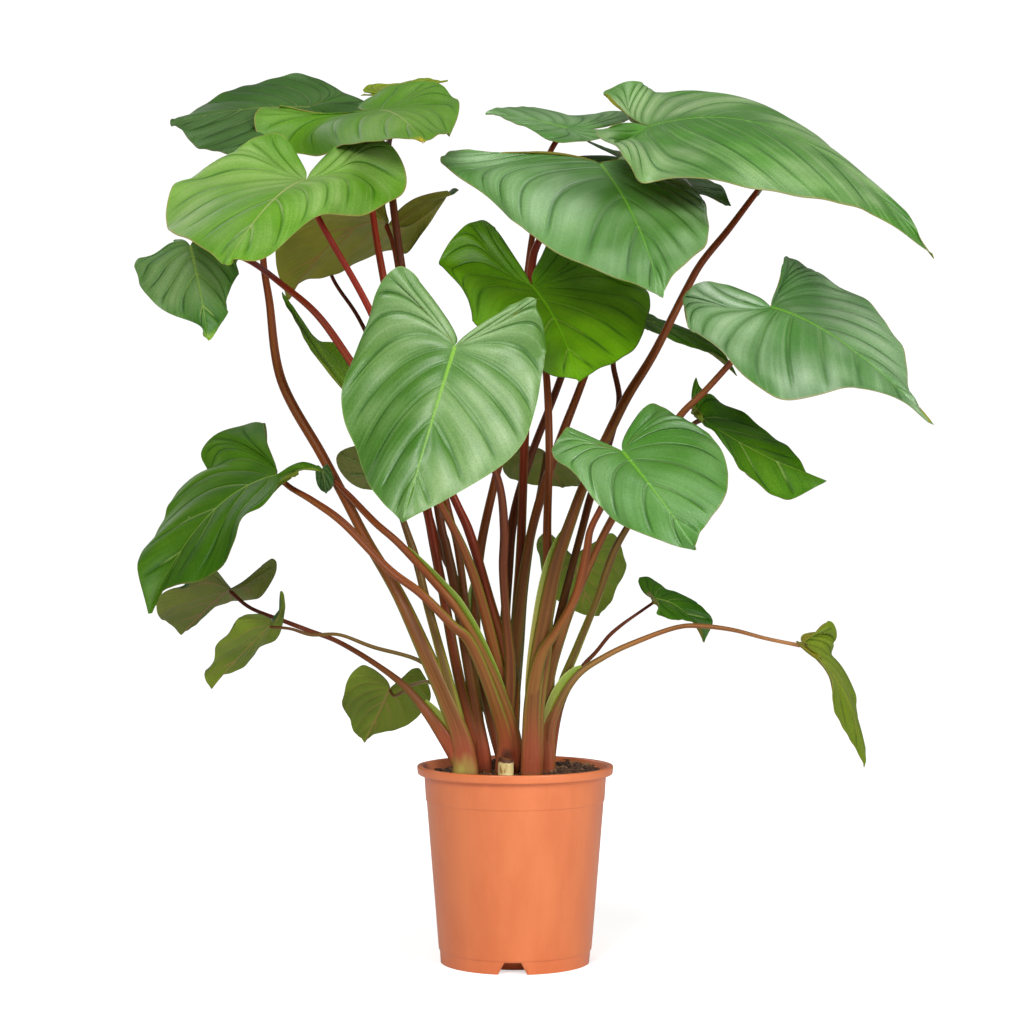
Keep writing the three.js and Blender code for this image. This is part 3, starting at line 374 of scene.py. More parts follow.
# how a blade is shaped: the same places, widths and heart outline that the solid leaves have
blade = {
    "thickness": 0.7, "midribDepth": 0.7, "midribWidth": 1.7, "underRib": 0.9, "underVein": 0.35,
    "foldSoftness": 0.08, "lobe": (-0.31, 0.33), "side": (0.16, 0.53), "shoulder": (0.62, 0.38),
    "pleatDepth": 1.6, "pleatLimit": 0.3, "veinLean": 5.0, "veinBend": (1.3, 1.05),
    "veinBow": (0.15, 0.075), "veinSweep": 0.48,
    "rippleTurn": 1.9, "rippleShift": 2.3,
}
halfOutline = [
    (0, 0), (-0.09, 0.045), (-0.2, 0.14), (-0.3, 0.26),
    (-0.325, 0.36), (-0.22, 0.45), (-0.05, 0.505), (0.16, 0.53), (0.38, 0.505),
    (0.55, 0.43), (0.7, 0.33), (0.83, 0.19), (0.93, 0.07), (1, 0),
]
lastStation = len(halfOutline) - 1
sinusEnd = 3
rimStations = [1.8, 3.5, 5.5, 7.5, 9.5, 11.5]
dripStation = 12.4


def outlineAt(station):
    return along(halfOutline, np.asarray(station) / lastStation)


def bladeSurface(leaf):
    base, middle, tip = (place(leaf[key]) for key in ("base", "middle", "tip"))
    soft = blade["foldSoftness"]

    def midrib(a):
        a = np.asarray(a, float)[..., None]
        beyond = base * (1 - 3 * a) + middle * 4 * a - tip * a
        within = base * (1 - a) * (1 - 2 * a) + middle * 4 * a * (1 - a) + tip * a * (2 * a - 1)
        return np.where(a < 0, beyond, within)

    def fold(w):
        return np.hypot(w, soft) - soft

    def spread(pair, where):
        station, width = where
        left, right = place(pair[0]), place(pair[1])
        odd = (right - left) * 0.5 / width
        even = (right + left - 2 * midrib(station)) * 0.5 / fold(width)
        return odd, even

    side = spread(leaf["sides"], blade["side"])
    lobe = spread(leaf["lobes"], blade["lobe"]) if "lobes" in leaf else side
    shoulder = spread(leaf["shoulders"], blade["shoulder"]) if "shoulders" in leaf else side

    def at(a, w):
        a, w = np.broadcast_arrays(np.asarray(a, float), np.asarray(w, float))
        sideAt = blade["side"][0]
        back = (a < sideAt)[..., None]
        reach = np.where(a < sideAt, blade["lobe"][0] - sideAt, blade["shoulder"][0] - sideAt)
        share = smooth((a - sideAt) / reach)[..., None]
        odd = mix(side[0], np.where(back, lobe[0], shoulder[0]), share)
        even = mix(side[1], np.where(back, lobe[1], shoulder[1]), share)
        return midrib(a) + odd * w[..., None] + even * fold(w)[..., None]

    return at


def rimShift(leaf, surface, hand):
    # how far the rim seen from the front lies from that of the smooth surface, at a station of the outline
    if "rim" not in leaf:
        return lambda station: np.zeros(np.shape(station) + (3,))
    side = 0 if hand < 0 else 1
    seen = leaf["rim"][side]
    given = rimStations[len(rimStations) - len(seen):]
    if "drip" in leaf:
        seen = [*seen, leaf["drip"][side]]
        given = [*given, dripStation]
    steps = [(0, 0, 0)]
    for station, (across, height) in zip(given, seen):
        a, w = outlineAt(station)
        point = surface(a, hand * w)
        steps.append(place((across, point[1], height)) - point)
    steps.append((0, 0, 0))
    stations = [0, *given, lastStation]

    def shiftAt(station):
        where = np.interp(station, stations, np.arange(len(stations)))
        return along(steps, where / (len(stations) - 1))

    return shiftAt


def facesNormals(points, quads):
    normals = np.zeros_like(points)
    a, b, c, d = (points[quads[:, k]] for k in range(4))
    face = np.cross(c - a, d - b)
    for k in range(4):
        np.add.at(normals, quads[:, k], face)
    return unit(normals)


def bladeOf(name, leaf, number):
    surface = bladeSurface(leaf)
    size = float(np.linalg.norm(place(leaf["tip"]) - place(leaf["base"])))
    veinCount = leaf.get("veins", 10)
    big = size > 90
    rowsPerVein = 8 if big else 6
    rows = veinCount * rowsPerVein
    steps = 26 if big else 16
    turns = leaf.get("rows", 10)
    t = np.linspace(0, 1, rows + 1)
    station = sinusEnd + (lastStation - sinusEnd) * t
    rim = outlineAt(station)
    start = np.maximum(rim[:, 0], 0) ** blade["veinLean"]
    f = np.linspace(0, 1, steps + 1) ** 1.12
    forward = smooth((rim[:, 0] - 0.15) / 0.5)
    bow = mix(*blade["veinBow"], forward) * rim[:, 1] / blade["side"][1] * smooth((station - sinusEnd) / 3)
    bend = mix(*blade["veinBend"], forward)
    outward = f * (1 + blade["veinSweep"] * (1 - f))
    grid = {}
    points = [surface(0, 0)]
    plan = [(0.0, 0.0)]
    reachOf = [0.0]
    veinOf = [0.0]
    spacingOf = [0.0]
    spine = []
    for j in range(rows + 1):
        if start[j] == 0:
            spine.append(0)
        else:
            spine.append(len(points))
            points.append(surface(start[j], 0))
            plan.append((start[j], 0.0))
            reachOf.append(0.0)
            veinOf.append(t[j])
            spacingOf.append(0.0)
    # veins are a little unevenly spaced, so that no two leaves match
    veinNumber = t * veinCount + 0.22 * np.sin(t * 9 + number) * np.sin(np.pi * t)
    quads, corners, hands = [], [], []
    for hand in (-1, 1):
        shiftAt = rimShift(leaf, surface, hand)
        toSinus = (np.clip(1 - (station - sinusEnd), 0, 1) ** 2)[:, None]
        a = start[:, None] + (rim[:, :1] - start[:, None]) * f[None] ** bend[:, None]
        a = a - 4 * bow[:, None] * (f * (1 - f))[None]
        w = rim[:, 1:] * outward[None]
        sinus = outlineAt(sinusEnd * f)
        a = mix(a, sinus[None, :, 0], toSinus)
        w = mix(w, sinus[None, :, 1], toSinus) * hand
        shift = shiftAt(station)[:, None] * (f[None] ** 1.5)[..., None]
        shift[0] = shiftAt(sinusEnd * f)
        at = surface(a, w) + shift
        # next to the sinus the blade is stretched straight between its edge and the second vein
        near = 2 * rowsPerVein
        taut = mix(at[0], at[near], np.linspace(0, 1, near + 1)[:, None, None])
        at[:near + 1] = mix(taut, at[:near + 1], (f ** 4)[:, None])
        spacing = np.linalg.norm(np.gradient(at, axis=0), axis=-1) * rowsPerVein
        index = np.zeros((rows + 1, steps + 1), int)
        for j in range(rows + 1):
            for i in range(steps + 1):
                if i == 0 or j == rows:
                    index[j, i] = spine[j]
                    continue
                index[j, i] = len(points)
                points.append(at[j, i])
                plan.append((a[j, i], w[j, i]))
                reachOf.append(f[i])
                veinOf.append(t[j])
                spacingOf.append(spacing[j, i])
        for j in range(rows):
            for i in range(steps):
                quad = [(j, i), (j + 1, i), (j + 1, i + 1), (j, i + 1)]
                if hand < 0:
                    quad.reverse()
                quads.append([index[q] for q in quad])
                corners.append([(veinNumber[q[0]], f[q[1]]) for q in quad])
                hands.append(hand)
        grid[hand] = index
    points = np.array(points)
    quads = np.array(quads)
    plan, reachOf, veinOf = np.array(plan), np.array(reachOf), np.array(veinOf)
    handOf = np.sign(plan[:, 1])
    normals = facesNormals(points, quads)
    # pleats: sunken veins, swellings between them; a wave runs round the rim
    veinAt = np.interp(veinOf, t, veinNumber)
    rng = np.random.default_rng(100 + number)
    depths = rng.uniform(0.35, 1.35, (2, veinCount + 3))[(handOf > 0).astype(int)]
    which = np.floor(veinAt).astype(int)
    share = veinAt - which
    rowsOf = np.arange(len(which))
    depth = mix(depths[rowsOf, which + 1], depths[rowsOf, which + 2], smooth(share))
    swell = np.abs(np.sin(np.pi * share ** 0.8)) ** 0.8 - 0.62
    inside = smooth(reachOf / 0.22) * smooth((1 - reachOf) / 0.3) * smooth((1 - plan[:, 0]) / 0.15)
    uneven = 0.75 + 0.5 * wobble(points, 45.0, number)
    full = leaf.get("pleat", 2.0) * blade["pleatDepth"] * depth
    limit = np.array(spacingOf) * blade["pleatLimit"] + 1e-6
    pleat = full * limit / np.hypot(full, limit) * swell * inside * uneven
    turn = veinOf * turns * blade["rippleTurn"] + number * blade["rippleShift"] + handOf
    flutter = leaf.get("wave", 3.0) * reachOf ** 3 * np.sin(turn)
    fineTurn = veinOf * 61 + number * 3 + handOf
    flutter = flutter + leaf.get("wave", 3.0) * 0.22 * reachOf ** 4 * np.sin(fineTurn)
    away = np.abs(plan[:, 1]) * size
    ribFade = np.clip(1.1 - plan[:, 0], 0, 1) * (plan[:, 0] >= 0)
    rib = np.exp(-(away / blade["midribWidth"]) ** 2) * ribFade
    points = points + normals * (pleat + flutter)[:, None]
    normals = facesNormals(points, quads)
    groove = blade["midribDepth"] * rib
    sunk = np.exp(-(np.sin(np.pi * veinAt) / 0.3) ** 2) * inside * blade["underVein"]
    upper = points + normals * (blade["thickness"] / 2 - groove)[:, None]
    lower = points - normals * (blade["thickness"] / 2 + blade["underRib"] * rib + sunk)[:, None]
    count = len(points)
    faces, finishOf, wayCorners, planCorners = [], [], [], []
    planMap = np.stack([plan[:, 0], plan[:, 1] * size], axis=1)

    def addFace(ring, way, finish):
        kept = [k for k in range(len(ring)) if ring[k] != ring[k - 1]]
        if len(kept) < 3:
            return
        faces.append([ring[k] for k in kept])
        finishOf.append(finish)
        wayCorners.extend(way[k] for k in kept)
        planCorners.extend(planMap[ring[k] % count] for k in kept)

    for quad, way in zip(quads.tolist(), corners):
        addFace(quad, way, 0)
        addFace([v + count for v in reversed(quad)], way[::-1], 1)
    right, left = grid[1], grid[-1]
    edge = [*right[0], *right[1:rows, steps], spine[rows], *left[1:rows, steps][::-1], *left[0][1:][::-1]]
    edgeVein = veinOf[np.array(edge)] * veinCount
    for n, p in enumerate(edge):
        q = edge[(n + 1) % len(edge)]
        m = (n + 1) % len(edge)
        way = [(edgeVein[n], 1.0), (edgeVein[m], 1.0), (edgeVein[m], 1.0), (edgeVein[n], 1.0)]
        addFace([p, q, q + count, p + count], way, 0)
    look = leaf["look"]
    top = leafTop(name, {**leafFinishes[look[0]], **leaf.get("tint", {})}, leaf.get("tipColour"),
                  leaf.get("tipFrom", 0.93))
    pieceName = "leaf" + name[0].upper() + name[1:]
    return makePiece(pieceName, np.vstack([upper, lower]), faces, [top, underFinishes[look[1]]],
                     leaf["slot"], [leaf["node"]], finishOf,
                     {"leafWay": wayCorners, "leafPlan": planCorners}, sharp=60)


# each leaf: stalk end, middle and tip, then lobes, sides and shoulders, left first;
# its rim is given as seen from the front
leaves = {
    "frontPale": {
        "node": "leaf_front_pale", "slot": "leaf_pale", "look": ("pale", "olive"),
        "veins": 11, "pleat": 2.5,
        "base": (-60, -180, 615), "middle": (-87, -210, 527), "tip": (-113, -230, 438),
        "lobes": [(-112, -168, 689), (18, -170, 658)],
        "sides": [(-165, -152, 611), (25, -158, 558)],
        "shoulders": [(-163, -178, 527), (-25, -188, 486)],
        "rim": [[(-65, 639), (-105, 690), (-141, 664), (-171, 573), (-157, 501), (-129, 455)],
                [(-33, 638), (5, 657), (22, 653), (28, 591), (5, 514), (-65, 464)]],
    },
    "centreDark": {
        "node": "leaf_centre_dark", "slot": "leaf_mid", "look": ("deep", "olive"),
        "veins": 11, "pleat": 1.3,
        "base": (17, -10, 675), "middle": (43, -78, 635), "tip": (64, -145, 579),
        "lobes": [(-35, 30, 737), (77, 28, 723)],
        "sides": [(-72, 12, 693), (131, -18, 658)],
        "shoulders": [(5, -78, 611), (115, -92, 609)],
        "rim": [[(-5, 711), (-26, 737), (-59, 727), (-63, 683), (-38, 633), (32, 590)],
                [(25, 703), (45, 736), (95, 726), (133, 669), (128, 628), (94, 595)]],
    },
    "upperBroad": {
        "node": "leaf_upper_broad", "slot": "leaf_mid", "look": ("paintedSatinSheen", "olive"),
        "veins": 13, "pleat": 2.1,
        "tint": {"paintedSheenShare": 0.65},
        "base": (85, -40, 798), "middle": (121, -130, 739), "tip": (146, -225, 664),
        "lobes": [(-10, 25, 813), (135, 15, 798)],
        "sides": [(-68, -35, 791), (198, -90, 743)],
        "shoulders": [(33, -130, 713), (182, -168, 711)],
        "rim": [[(37, 798), (-49, 813), (-74, 801), (-34, 769), (18, 725), (113, 677)],
                [(99, 799), (110, 803), (160, 788), (192, 755), (192, 723), (156, 682)]],
    },
    "middleRight": {
        "node": "leaf_middle_right", "slot": "leaf_fresh", "look": ("paintedSatinSheen", "olive"),
        "veins": 9, "pleat": 0.8,
        "tint": {"ground": "#568f35", "shade": "#478228", "paintedSatinSheen": "#9fc48e", "paintedSheenShare": 0.35},
        "base": (107, -120, 510), "middle": (143, -170, 465), "tip": (181, -215, 411),
        "lobes": [(63, -95, 530), (140, -90, 556)],
        "sides": [(41, -120, 499), (200, -115, 523)],
        "shoulders": [(93, -165, 446), (209, -170, 464)],
        "rim": [[(58, 531), (38, 516), (65, 480), (103, 438), (157, 416)],
                [(135, 556), (164, 543), (205, 515), (212, 469), (189, 436)]],
    },
    "topLeft": {
        "node": "leaf_top_left", "slot": "leaf_dark", "look": ("dark", "olive"),
        "veins": 11, "pleat": 1.7,
        "base": (-205, 165, 854), "middle": (-277, 130, 851), "tip": (-345, 90, 837),
        "lobes": [(-155, 226, 865), (-165, 140, 833)],
        "sides": [(-223, 232, 884), (-253, 75, 811)],
        "shoulders": [(-287, 180, 869), (-310, 65, 814)],
        "rim": [[(-173, 848), (-141, 855), (-190, 877), (-243, 884), (-290, 866), (-333, 846)],
                [(-179, 859), (-153, 853), (-225, 815), (-280, 806), (-312, 813), (-333, 828)]],
    },
    "topLeftLow": {
        "node": "leaf_top_left_low", "slot": "leaf_fresh", "look": ("fresh", "greyish"),
        "veins": 10, "pleat": 0.9, "tipColour": "#d9b91e", "tipFrom": 0.9,
        "tint": {"ground": "#588a16", "shade": "#4a7c10", "paintedSatinSheen": "#88aa54"},
        "base": (-138, 70, 851), "middle": (-115, -20, 844), "tip": (-93, -110, 819),
        "lobes": [(-215, 120, 855), (-100, 130, 872)],
        "sides": [(-259, 85, 831), (-56, 80, 853)],
        "shoulders": [(-195, -18, 812), (-69, -35, 818)],
        "rim": [[(-197, 848), (-245, 856), (-260, 833), (-209, 806), (-170, 818), (-113, 820)],
                [(-157, 855), (-133, 869), (-75, 878), (-56, 853), (-65, 826), (-84, 823)]],
    },
    "leftBroad": {
        "node": "leaf_left_broad", "slot": "leaf_fresh", "look": ("fresh", "olive"),
        "veins": 11, "pleat": 0.9,
        "tint": {"paintedSatinSheen": "#a2be72", "paintedSheenShare": 0.55},
        "base": (-209, -60, 782), "middle": (-247, -145, 756), "tip": (-289, -235, 696),
        "lobes": [(-253, -5, 824), (-165, 13, 820)],
        "sides": [(-339, -40, 773), (-111, -35, 796)],
        "shoulders": [(-345, -140, 728), (-170, -125, 745)],
        "drip": [(-293, 699), (-284, 700)],
        "rim": [[(-215, 801), (-235, 824), (-291, 804), (-341, 774), (-347, 731), (-310, 713)],
                [(-196, 799), (-167, 819), (-123, 813), (-136, 754), (-197, 744), (-253, 702)]],
    },
    "leftHanging": {
        "node": "leaf_left_hanging", "slot": "leaf_mid", "look": ("shade", "olive"),
        "veins": 9, "pleat": 1.0, "tipColour": "#8fb52e", "tipFrom": 0.9,
        "tint": {"ground": "#457a20", "shade": "#356a14", "paintedSatinSheen": "#92ac74", "paintedSheenShare": 0.55,
                 "shine": 0.3},
        "base": (-325, -30, 715), "middle": (-315, -55, 669), "tip": (-307, -70, 620),
        "lobes": [(-347, 0, 721), (-293, -5, 729)],
        "sides": [(-377, -10, 687), (-276, -15, 689)],
        "shoulders": [(-363, -40, 656), (-287, -45, 661)],
        "rim": [[(-343, 717), (-365, 702), (-378, 684), (-355, 653), (-317, 636)],
                [(-293, 723), (-275, 706), (-277, 686), (-287, 662), (-291, 641)]],
    },
    "leftBehind": {
        "node": "leaf_left_behind", "slot": "leaf_under", "look": ("dark", "olive"),
        "veins": 10, "pleat": 1.2,
        "base": (-127, 100, 737), "middle": (-175, 130, 725), "tip": (-229, 170, 661),
        "lobes": [(-70, 110, 763), (-143, 80, 783)],
        "sides": [(-123, 175, 707), (-197, 60, 756)],
        "shoulders": [(-185, 188, 685), (-232, 135, 715)],
        "rim": [[(-102, 762), (-59, 770), (-78, 750), (-123, 709), (-180, 689), (-217, 675)],
                [(-130, 753), (-130, 776), (-165, 776), (-205, 756), (-236, 718), (-238, 693)]],
    },
    "leftFolded": {
        "node": "leaf_left_folded", "slot": "leaf_fresh", "look": ("shade", "greenish"),
        "rows": 8, "wave": 1.5, "veins": 9, "pleat": 1.2,
        "tint": {"paintedSatinSheen": "#86a63a", "ground": "#628a1c", "shade": "#44700e"},
        "base": (-155, -20, 559), "middle": (-193, -25, 609), "tip": (-233, -30, 669),
        "sides": [(-163, 20, 609), (-182, -40, 576)],
        "shoulders": [(-200, 5, 629), (-215, -45, 626)],
        "rim": [[(-143, 571), (-158, 593), (-177, 617), (-203, 628), (-224, 654)],
                [(-150, 551), (-170, 573), (-190, 596), (-212, 624), (-228, 654)]],
    },
    "leftMiddle": {
        "node": "leaf_left_middle", "slot": "leaf_mid", "look": ("shade", "greenish"),
        "veins": 10, "pleat": 1.1,
        "tint": {"ground": "#447404", "shade": "#2f5a02", "veins": "#8fae52", "veinShare": 0.4},
        "base": (-239, -20, 486), "middle": (-309, -10, 443), "tip": (-367, -30, 347),
        "lobes": [(-267, 40, 538), (-203, -45, 493)],
        "sides": [(-312, 55, 503), (-257, -75, 456)],
        "shoulders": [(-355, 40, 431), (-293, -60, 405)],
        "rim": [[(-248, 514), (-257, 541), (-311, 509), (-329, 479), (-352, 439), (-377, 398)],
                [(-214, 499), (-193, 490), (-234, 482), (-272, 439), (-307, 386), (-350, 369)]],
    },
    "lowLeft": {
        "node": "leaf_low_left", "slot": "leaf_under", "look": ("dark", "greyish"),
        "rows": 8, "wave": 1.5, "veins": 8, "pleat": 0.9,
        "base": (-285, 80, 372), "middle": (-308, 115, 353), "tip": (-334, 150, 326),
        "lobes": [(-247, 70, 396), (-310, 60, 405)],
        "sides": [(-257, 105, 363), (-330, 85, 376)],
        "shoulders": [(-303, 130, 351), (-357, 115, 356)],
        "rim": [[(-249, 399), (-239, 390), (-268, 361), (-307, 350), (-325, 333)],
                [(-304, 393), (-320, 389), (-343, 371), (-357, 347), (-347, 337)]],
    },
    "lowLeftSmall": {
        "node": "leaf_low_left_small", "slot": "leaf_under", "look": ("dark", "greenish"),
        "rows": 8, "wave": 1.5, "veins": 8, "pleat": 0.9,
        "base": (-245, 20, 336), "middle": (-275, 58, 306), "tip": (-304, 90, 272),
        "lobes": [(-236, 5, 364), (-263, -5, 350)],
        "sides": [(-253, 60, 311), (-290, 10, 326)],
        "shoulders": [(-272, 85, 293), (-301, 50, 309)],
        "rim": [[(-234, 369), (-231, 347), (-253, 314), (-274, 294), (-297, 282)],
                [(-260, 348), (-278, 340), (-296, 320), (-303, 295), (-311, 286)]],
    },
    "lowLeftInner": {
        "node": "leaf_low_left_inner", "slot": "leaf_under", "look": ("dark", "greenish"),
        "rows": 8, "wave": 1.5, "veins": 8, "pleat": 0.8,
        "base": (-125, 60, 273), "middle": (-138, 90, 245), "tip": (-151, 115, 218),
        "lobes": [(-102, 45, 294), (-148, 45, 293)],
        "sides": [(-90, 75, 261), (-172, 70, 266)],
        "shoulders": [(-112, 105, 233), (-163, 100, 239)],
        "rim": [[(-100, 294), (-88, 278), (-92, 252), (-117, 231), (-142, 227)],
                [(-149, 295), (-168, 280), (-173, 255), (-164, 237), (-157, 225)]],
    },
    "behindFront": {
        "node": "leaf_behind_front", "slot": "leaf_under", "look": ("shade", "olive"),
        "rows": 8, "wave": 1.5, "veins": 8, "pleat": 0.8,
        "tint": {"ground": "#585c26", "shade": "#4a4e1c", "paintedSatinSheen": "#686c38"},
        "base": (-111, -12, 483), "middle": (-83, -16, 501), "tip": (-55, -20, 521),
        "lobes": [(-115, -17, 458), (-167, -8, 499)],
        "sides": [(-90, -18, 461), (-123, -22, 529)],
        "rim": [[(-113, 459), (-91, 463), (-75, 471), (-60, 491), (-53, 511)],
                [(-158, 474), (-175, 509), (-130, 525), (-90, 533), (-65, 527)]],
    },
    "topLeftBack": {
        "node": "leaf_top_left_back", "slot": "leaf_under", "look": ("yellowed", "olive"),
        "rows": 8, "wave": 1.5, "veins": 8, "pleat": 1.0,
        "base": (-129, 205, 868), "middle": (-99, 215, 874), "tip": (-67, 226, 881),
        "lobes": [(-153, 186, 866), (-151, 222, 871)],
        "sides": [(-123, 176, 863), (-121, 230, 878)],
    },
    "leftHidden": {
        "node": "leaf_left_hidden", "slot": "leaf_mid", "look": ("dark", "olive"),
        "rows": 6, "wave": 0.5, "veins": 8, "pleat": 0.8,
        "base": (-203, 200, 751), "middle": (-215, 220, 763), "tip": (-230, 234, 754),
        "sides": [(-153, 200, 775), (-253, 200, 771)],
    },
    "leftTiny": {
        "node": "leaf_left_tiny", "slot": "leaf_dark", "look": ("dark", "olive"),
        "rows": 6, "wave": 0.5, "veins": 6, "pleat": 0.3,
        "base": (-193, 14, 491), "middle": (-191, 16, 479), "tip": (-189, 18, 467),
        "sides": [(-199, 12, 481), (-182, 18, 483)],
    },
    "centreBack": {
        "node": "leaf_centre_back", "slot": "leaf_under", "look": ("shade", "greyish"),
        "rows": 8, "wave": 1.5, "veins": 8, "pleat": 0.8,
        "base": (30, 110, 509), "middle": (38, 138, 490), "tip": (47, 150, 473),
        "lobes": [(50, 100, 514), (0, 100, 515)],
        "sides": [(68, 125, 487), (-12, 125, 491)],
    },
    "topCentre": {
        "node": "leaf_top_centre", "slot": "leaf_mid", "look": ("paintedSatinSheen", "greyish"),
        "rows": 8, "wave": 1.5, "veins": 9, "pleat": 1.2,
        "base": (51, 60, 833), "middle": (9, 80, 843), "tip": (-30, 95, 847),
        "lobes": [(115, 110, 847), (82, 20, 823)],
        "sides": [(60, 150, 853), (25, 5, 833)],
        "shoulders": [(5, 135, 856), (-3, 45, 844)],
        "rim": [[(117, 843), (90, 848), (40, 849), (7, 853), (-18, 854)],
                [(110, 830), (75, 822), (33, 820), (5, 837), (-17, 844)]],
    },
    "topRight": {
        "node": "leaf_top_right", "slot": "leaf_mid", "look": ("paintedSatinSheen", "olive"),
        "veins": 14, "pleat": 1.0,
        "tint": {"ground": "#4e8a22", "paintedSatinSheen": "#afc892", "paintedSheenShare": 0.65, "shine": 0.6},
        "base": (135, 0, 835), "middle": (279, -70, 825), "tip": (419, -170, 702),
        "lobes": [(83, -110, 828), (110, 80, 869)],
        "sides": [(175, -150, 787), (185, 140, 874)],
        "shoulders": [(305, -170, 762), (305, 0, 831)],
        "drip": [(396, 722), (401, 730)],
        "rim": [[(109, 838), (82, 828), (112, 803), (178, 784), (282, 763), (359, 749)],
                [(109, 850), (89, 871), (125, 875), (175, 871), (293, 830), (378, 758)]],
    },
    "topRightBack": {
        "node": "leaf_top_right_back", "slot": "leaf_dark", "look": ("dark", "olive"),
        "rows": 8, "wave": 1.5, "veins": 9, "pleat": 1.2,
        "base": (110, 150, 801), "middle": (160, 135, 783), "tip": (216, 110, 755),
        "lobes": [(60, 115, 793), (77, 185, 820)],
        "sides": [(135, 110, 771), (145, 210, 811)],
        "shoulders": [(182, 115, 763), (197, 165, 779)],
        "rim": [[(58, 804), (75, 791), (135, 776), (188, 765), (207, 758)],
                [(72, 820), (95, 811), (145, 796), (185, 783), (207, 775)]],
    },
    "rightLarge": {
        "node": "leaf_right_large", "slot": "leaf_mid", "look": ("paintedSatinSheen", "olive"),
        "veins": 13, "pleat": 2.2,
        "tint": {"ground": "#4c8238", "shade": "#3c6e2a", "paintedSatinSheen": "#a3bf94", "paintedSheenShare": 0.75},
        "base": (256, -110, 654), "middle": (331, -135, 616), "tip": (419, -170, 536),
        "lobes": [(175, -130, 663), (269, -60, 701)],
        "sides": [(233, -180, 593), (333, -25, 675)],
        "shoulders": [(323, -200, 566), (376, -95, 631)],
        "drip": [(394, 559), (401, 561)],
        "rim": [[(230, 670), (200, 678), (171, 660), (188, 621), (265, 564), (345, 572)],
                [(264, 678), (269, 703), (297, 690), (349, 664), (382, 618), (396, 573)]],
    },
    "rightEdgeOn": {
        "node": "leaf_right_edge_on", "slot": "leaf_dark", "look": ("shade", "greyish"),
        "rows": 8, "wave": 1.5, "veins": 8, "pleat": 1.0,
        "base": (130, 62, 641), "middle": (176, 52, 621), "tip": (222, 42, 585),
        "lobes": [(119, 45, 635), (125, 85, 654)],
        "sides": [(145, 28, 621), (157, 92, 641)],
        "shoulders": [(185, 36, 602), (189, 72, 621)],
        "rim": [[(121, 637), (132, 632), (150, 623), (182, 613), (207, 601)],
                [(121, 649), (133, 644), (157, 636), (188, 623), (212, 604)]],
    },
    "rightCurled": {
        "node": "leaf_right_curled", "slot": "leaf_dark", "look": ("shade", "greenish"),
        "veins": 9, "pleat": 1.5,
        "base": (185, -30, 544), "middle": (242, -45, 509), "tip": (312, -60, 480),
        "lobes": [(169, -45, 553), (183, -20, 583)],
        "sides": [(207, -60, 524), (229, 10, 547)],
        "shoulders": [(260, -70, 461), (275, -20, 514)],
        "rim": [[(179, 556), (187, 544), (207, 520), (236, 486), (271, 460)],
                [(181, 583), (190, 563), (223, 548), (266, 520), (292, 488)]],
    },
    "lowRightRound": {
        "node": "leaf_low_right_round", "slot": "leaf_under", "look": ("dark", "greenish"),
        "rows": 8, "wave": 1.5, "veins": 8, "pleat": 0.8,
        "base": (59, 110, 403), "middle": (68, 138, 373), "tip": (84, 160, 345),
        "lobes": [(91, 95, 424), (34, 95, 427)],
        "sides": [(111, 120, 391), (26, 120, 401)],
        "shoulders": [(97, 145, 361), (42, 145, 363)],
        "rim": [[(90, 424), (103, 421), (111, 391), (99, 367), (88, 350)],
                [(33, 427), (22, 420), (25, 399), (40, 363), (65, 347)]],
    },
    "lowRightSmall": {
        "node": "leaf_low_right_small", "slot": "leaf_mid", "look": ("shade", "olive"),
        "rows": 8, "wave": 1.5, "veins": 7, "pleat": 0.8,
        "base": (141, 60, 362), "middle": (169, 62, 349), "tip": (189, 60, 318),
        "lobes": [(140, 30, 357), (133, 85, 383)],
        "sides": [(147, 30, 347), (166, 90, 367)],
        "shoulders": [(173, 40, 337), (197, 75, 340)],
        "rim": [[(135, 369), (144, 355), (153, 342), (170, 341), (186, 332)],
                [(124, 383), (140, 378), (163, 368), (183, 355), (198, 340)]],
    },
    "rightHanging": {
        "node": "leaf_right_hanging", "slot": "leaf_fresh", "look": ("yellowed", "olive"),
        "rows": 8, "wave": 1.5, "veins": 9, "pleat": 1.2,
        "base": (288, -20, 317), "middle": (330, -30, 266), "tip": (349, -40, 193),
        "lobes": [(285, -50, 311), (313, 20, 340)],
        "sides": [(307, -70, 298), (320, 35, 311)],
        "shoulders": [(322, -75, 246), (345, 20, 245)],
        "rim": [[(291, 316), (295, 313), (307, 303), (318, 281), (321, 243), (339, 217)],
                [(300, 327), (314, 340), (317, 316), (330, 285), (343, 246), (349, 213)]],
    },
    "topRightHidden": {
        "node": "leaf_top_right_hidden", "slot": "leaf_mid", "look": ("paintedSatinSheen", "olive"),
        "rows": 6, "wave": 0.5, "veins": 8, "pleat": 0.6,
        "base": (257, 40, 793), "middle": (285, 25, 801), "tip": (335, 5, 761),
        "sides": [(260, -30, 789), (285, 95, 811)],
    },
}
for number, (name, leaf) in enumerate(leaves.items()):
    bladeOf(name, leaf, number)
print(len(leaves), "leaves built")

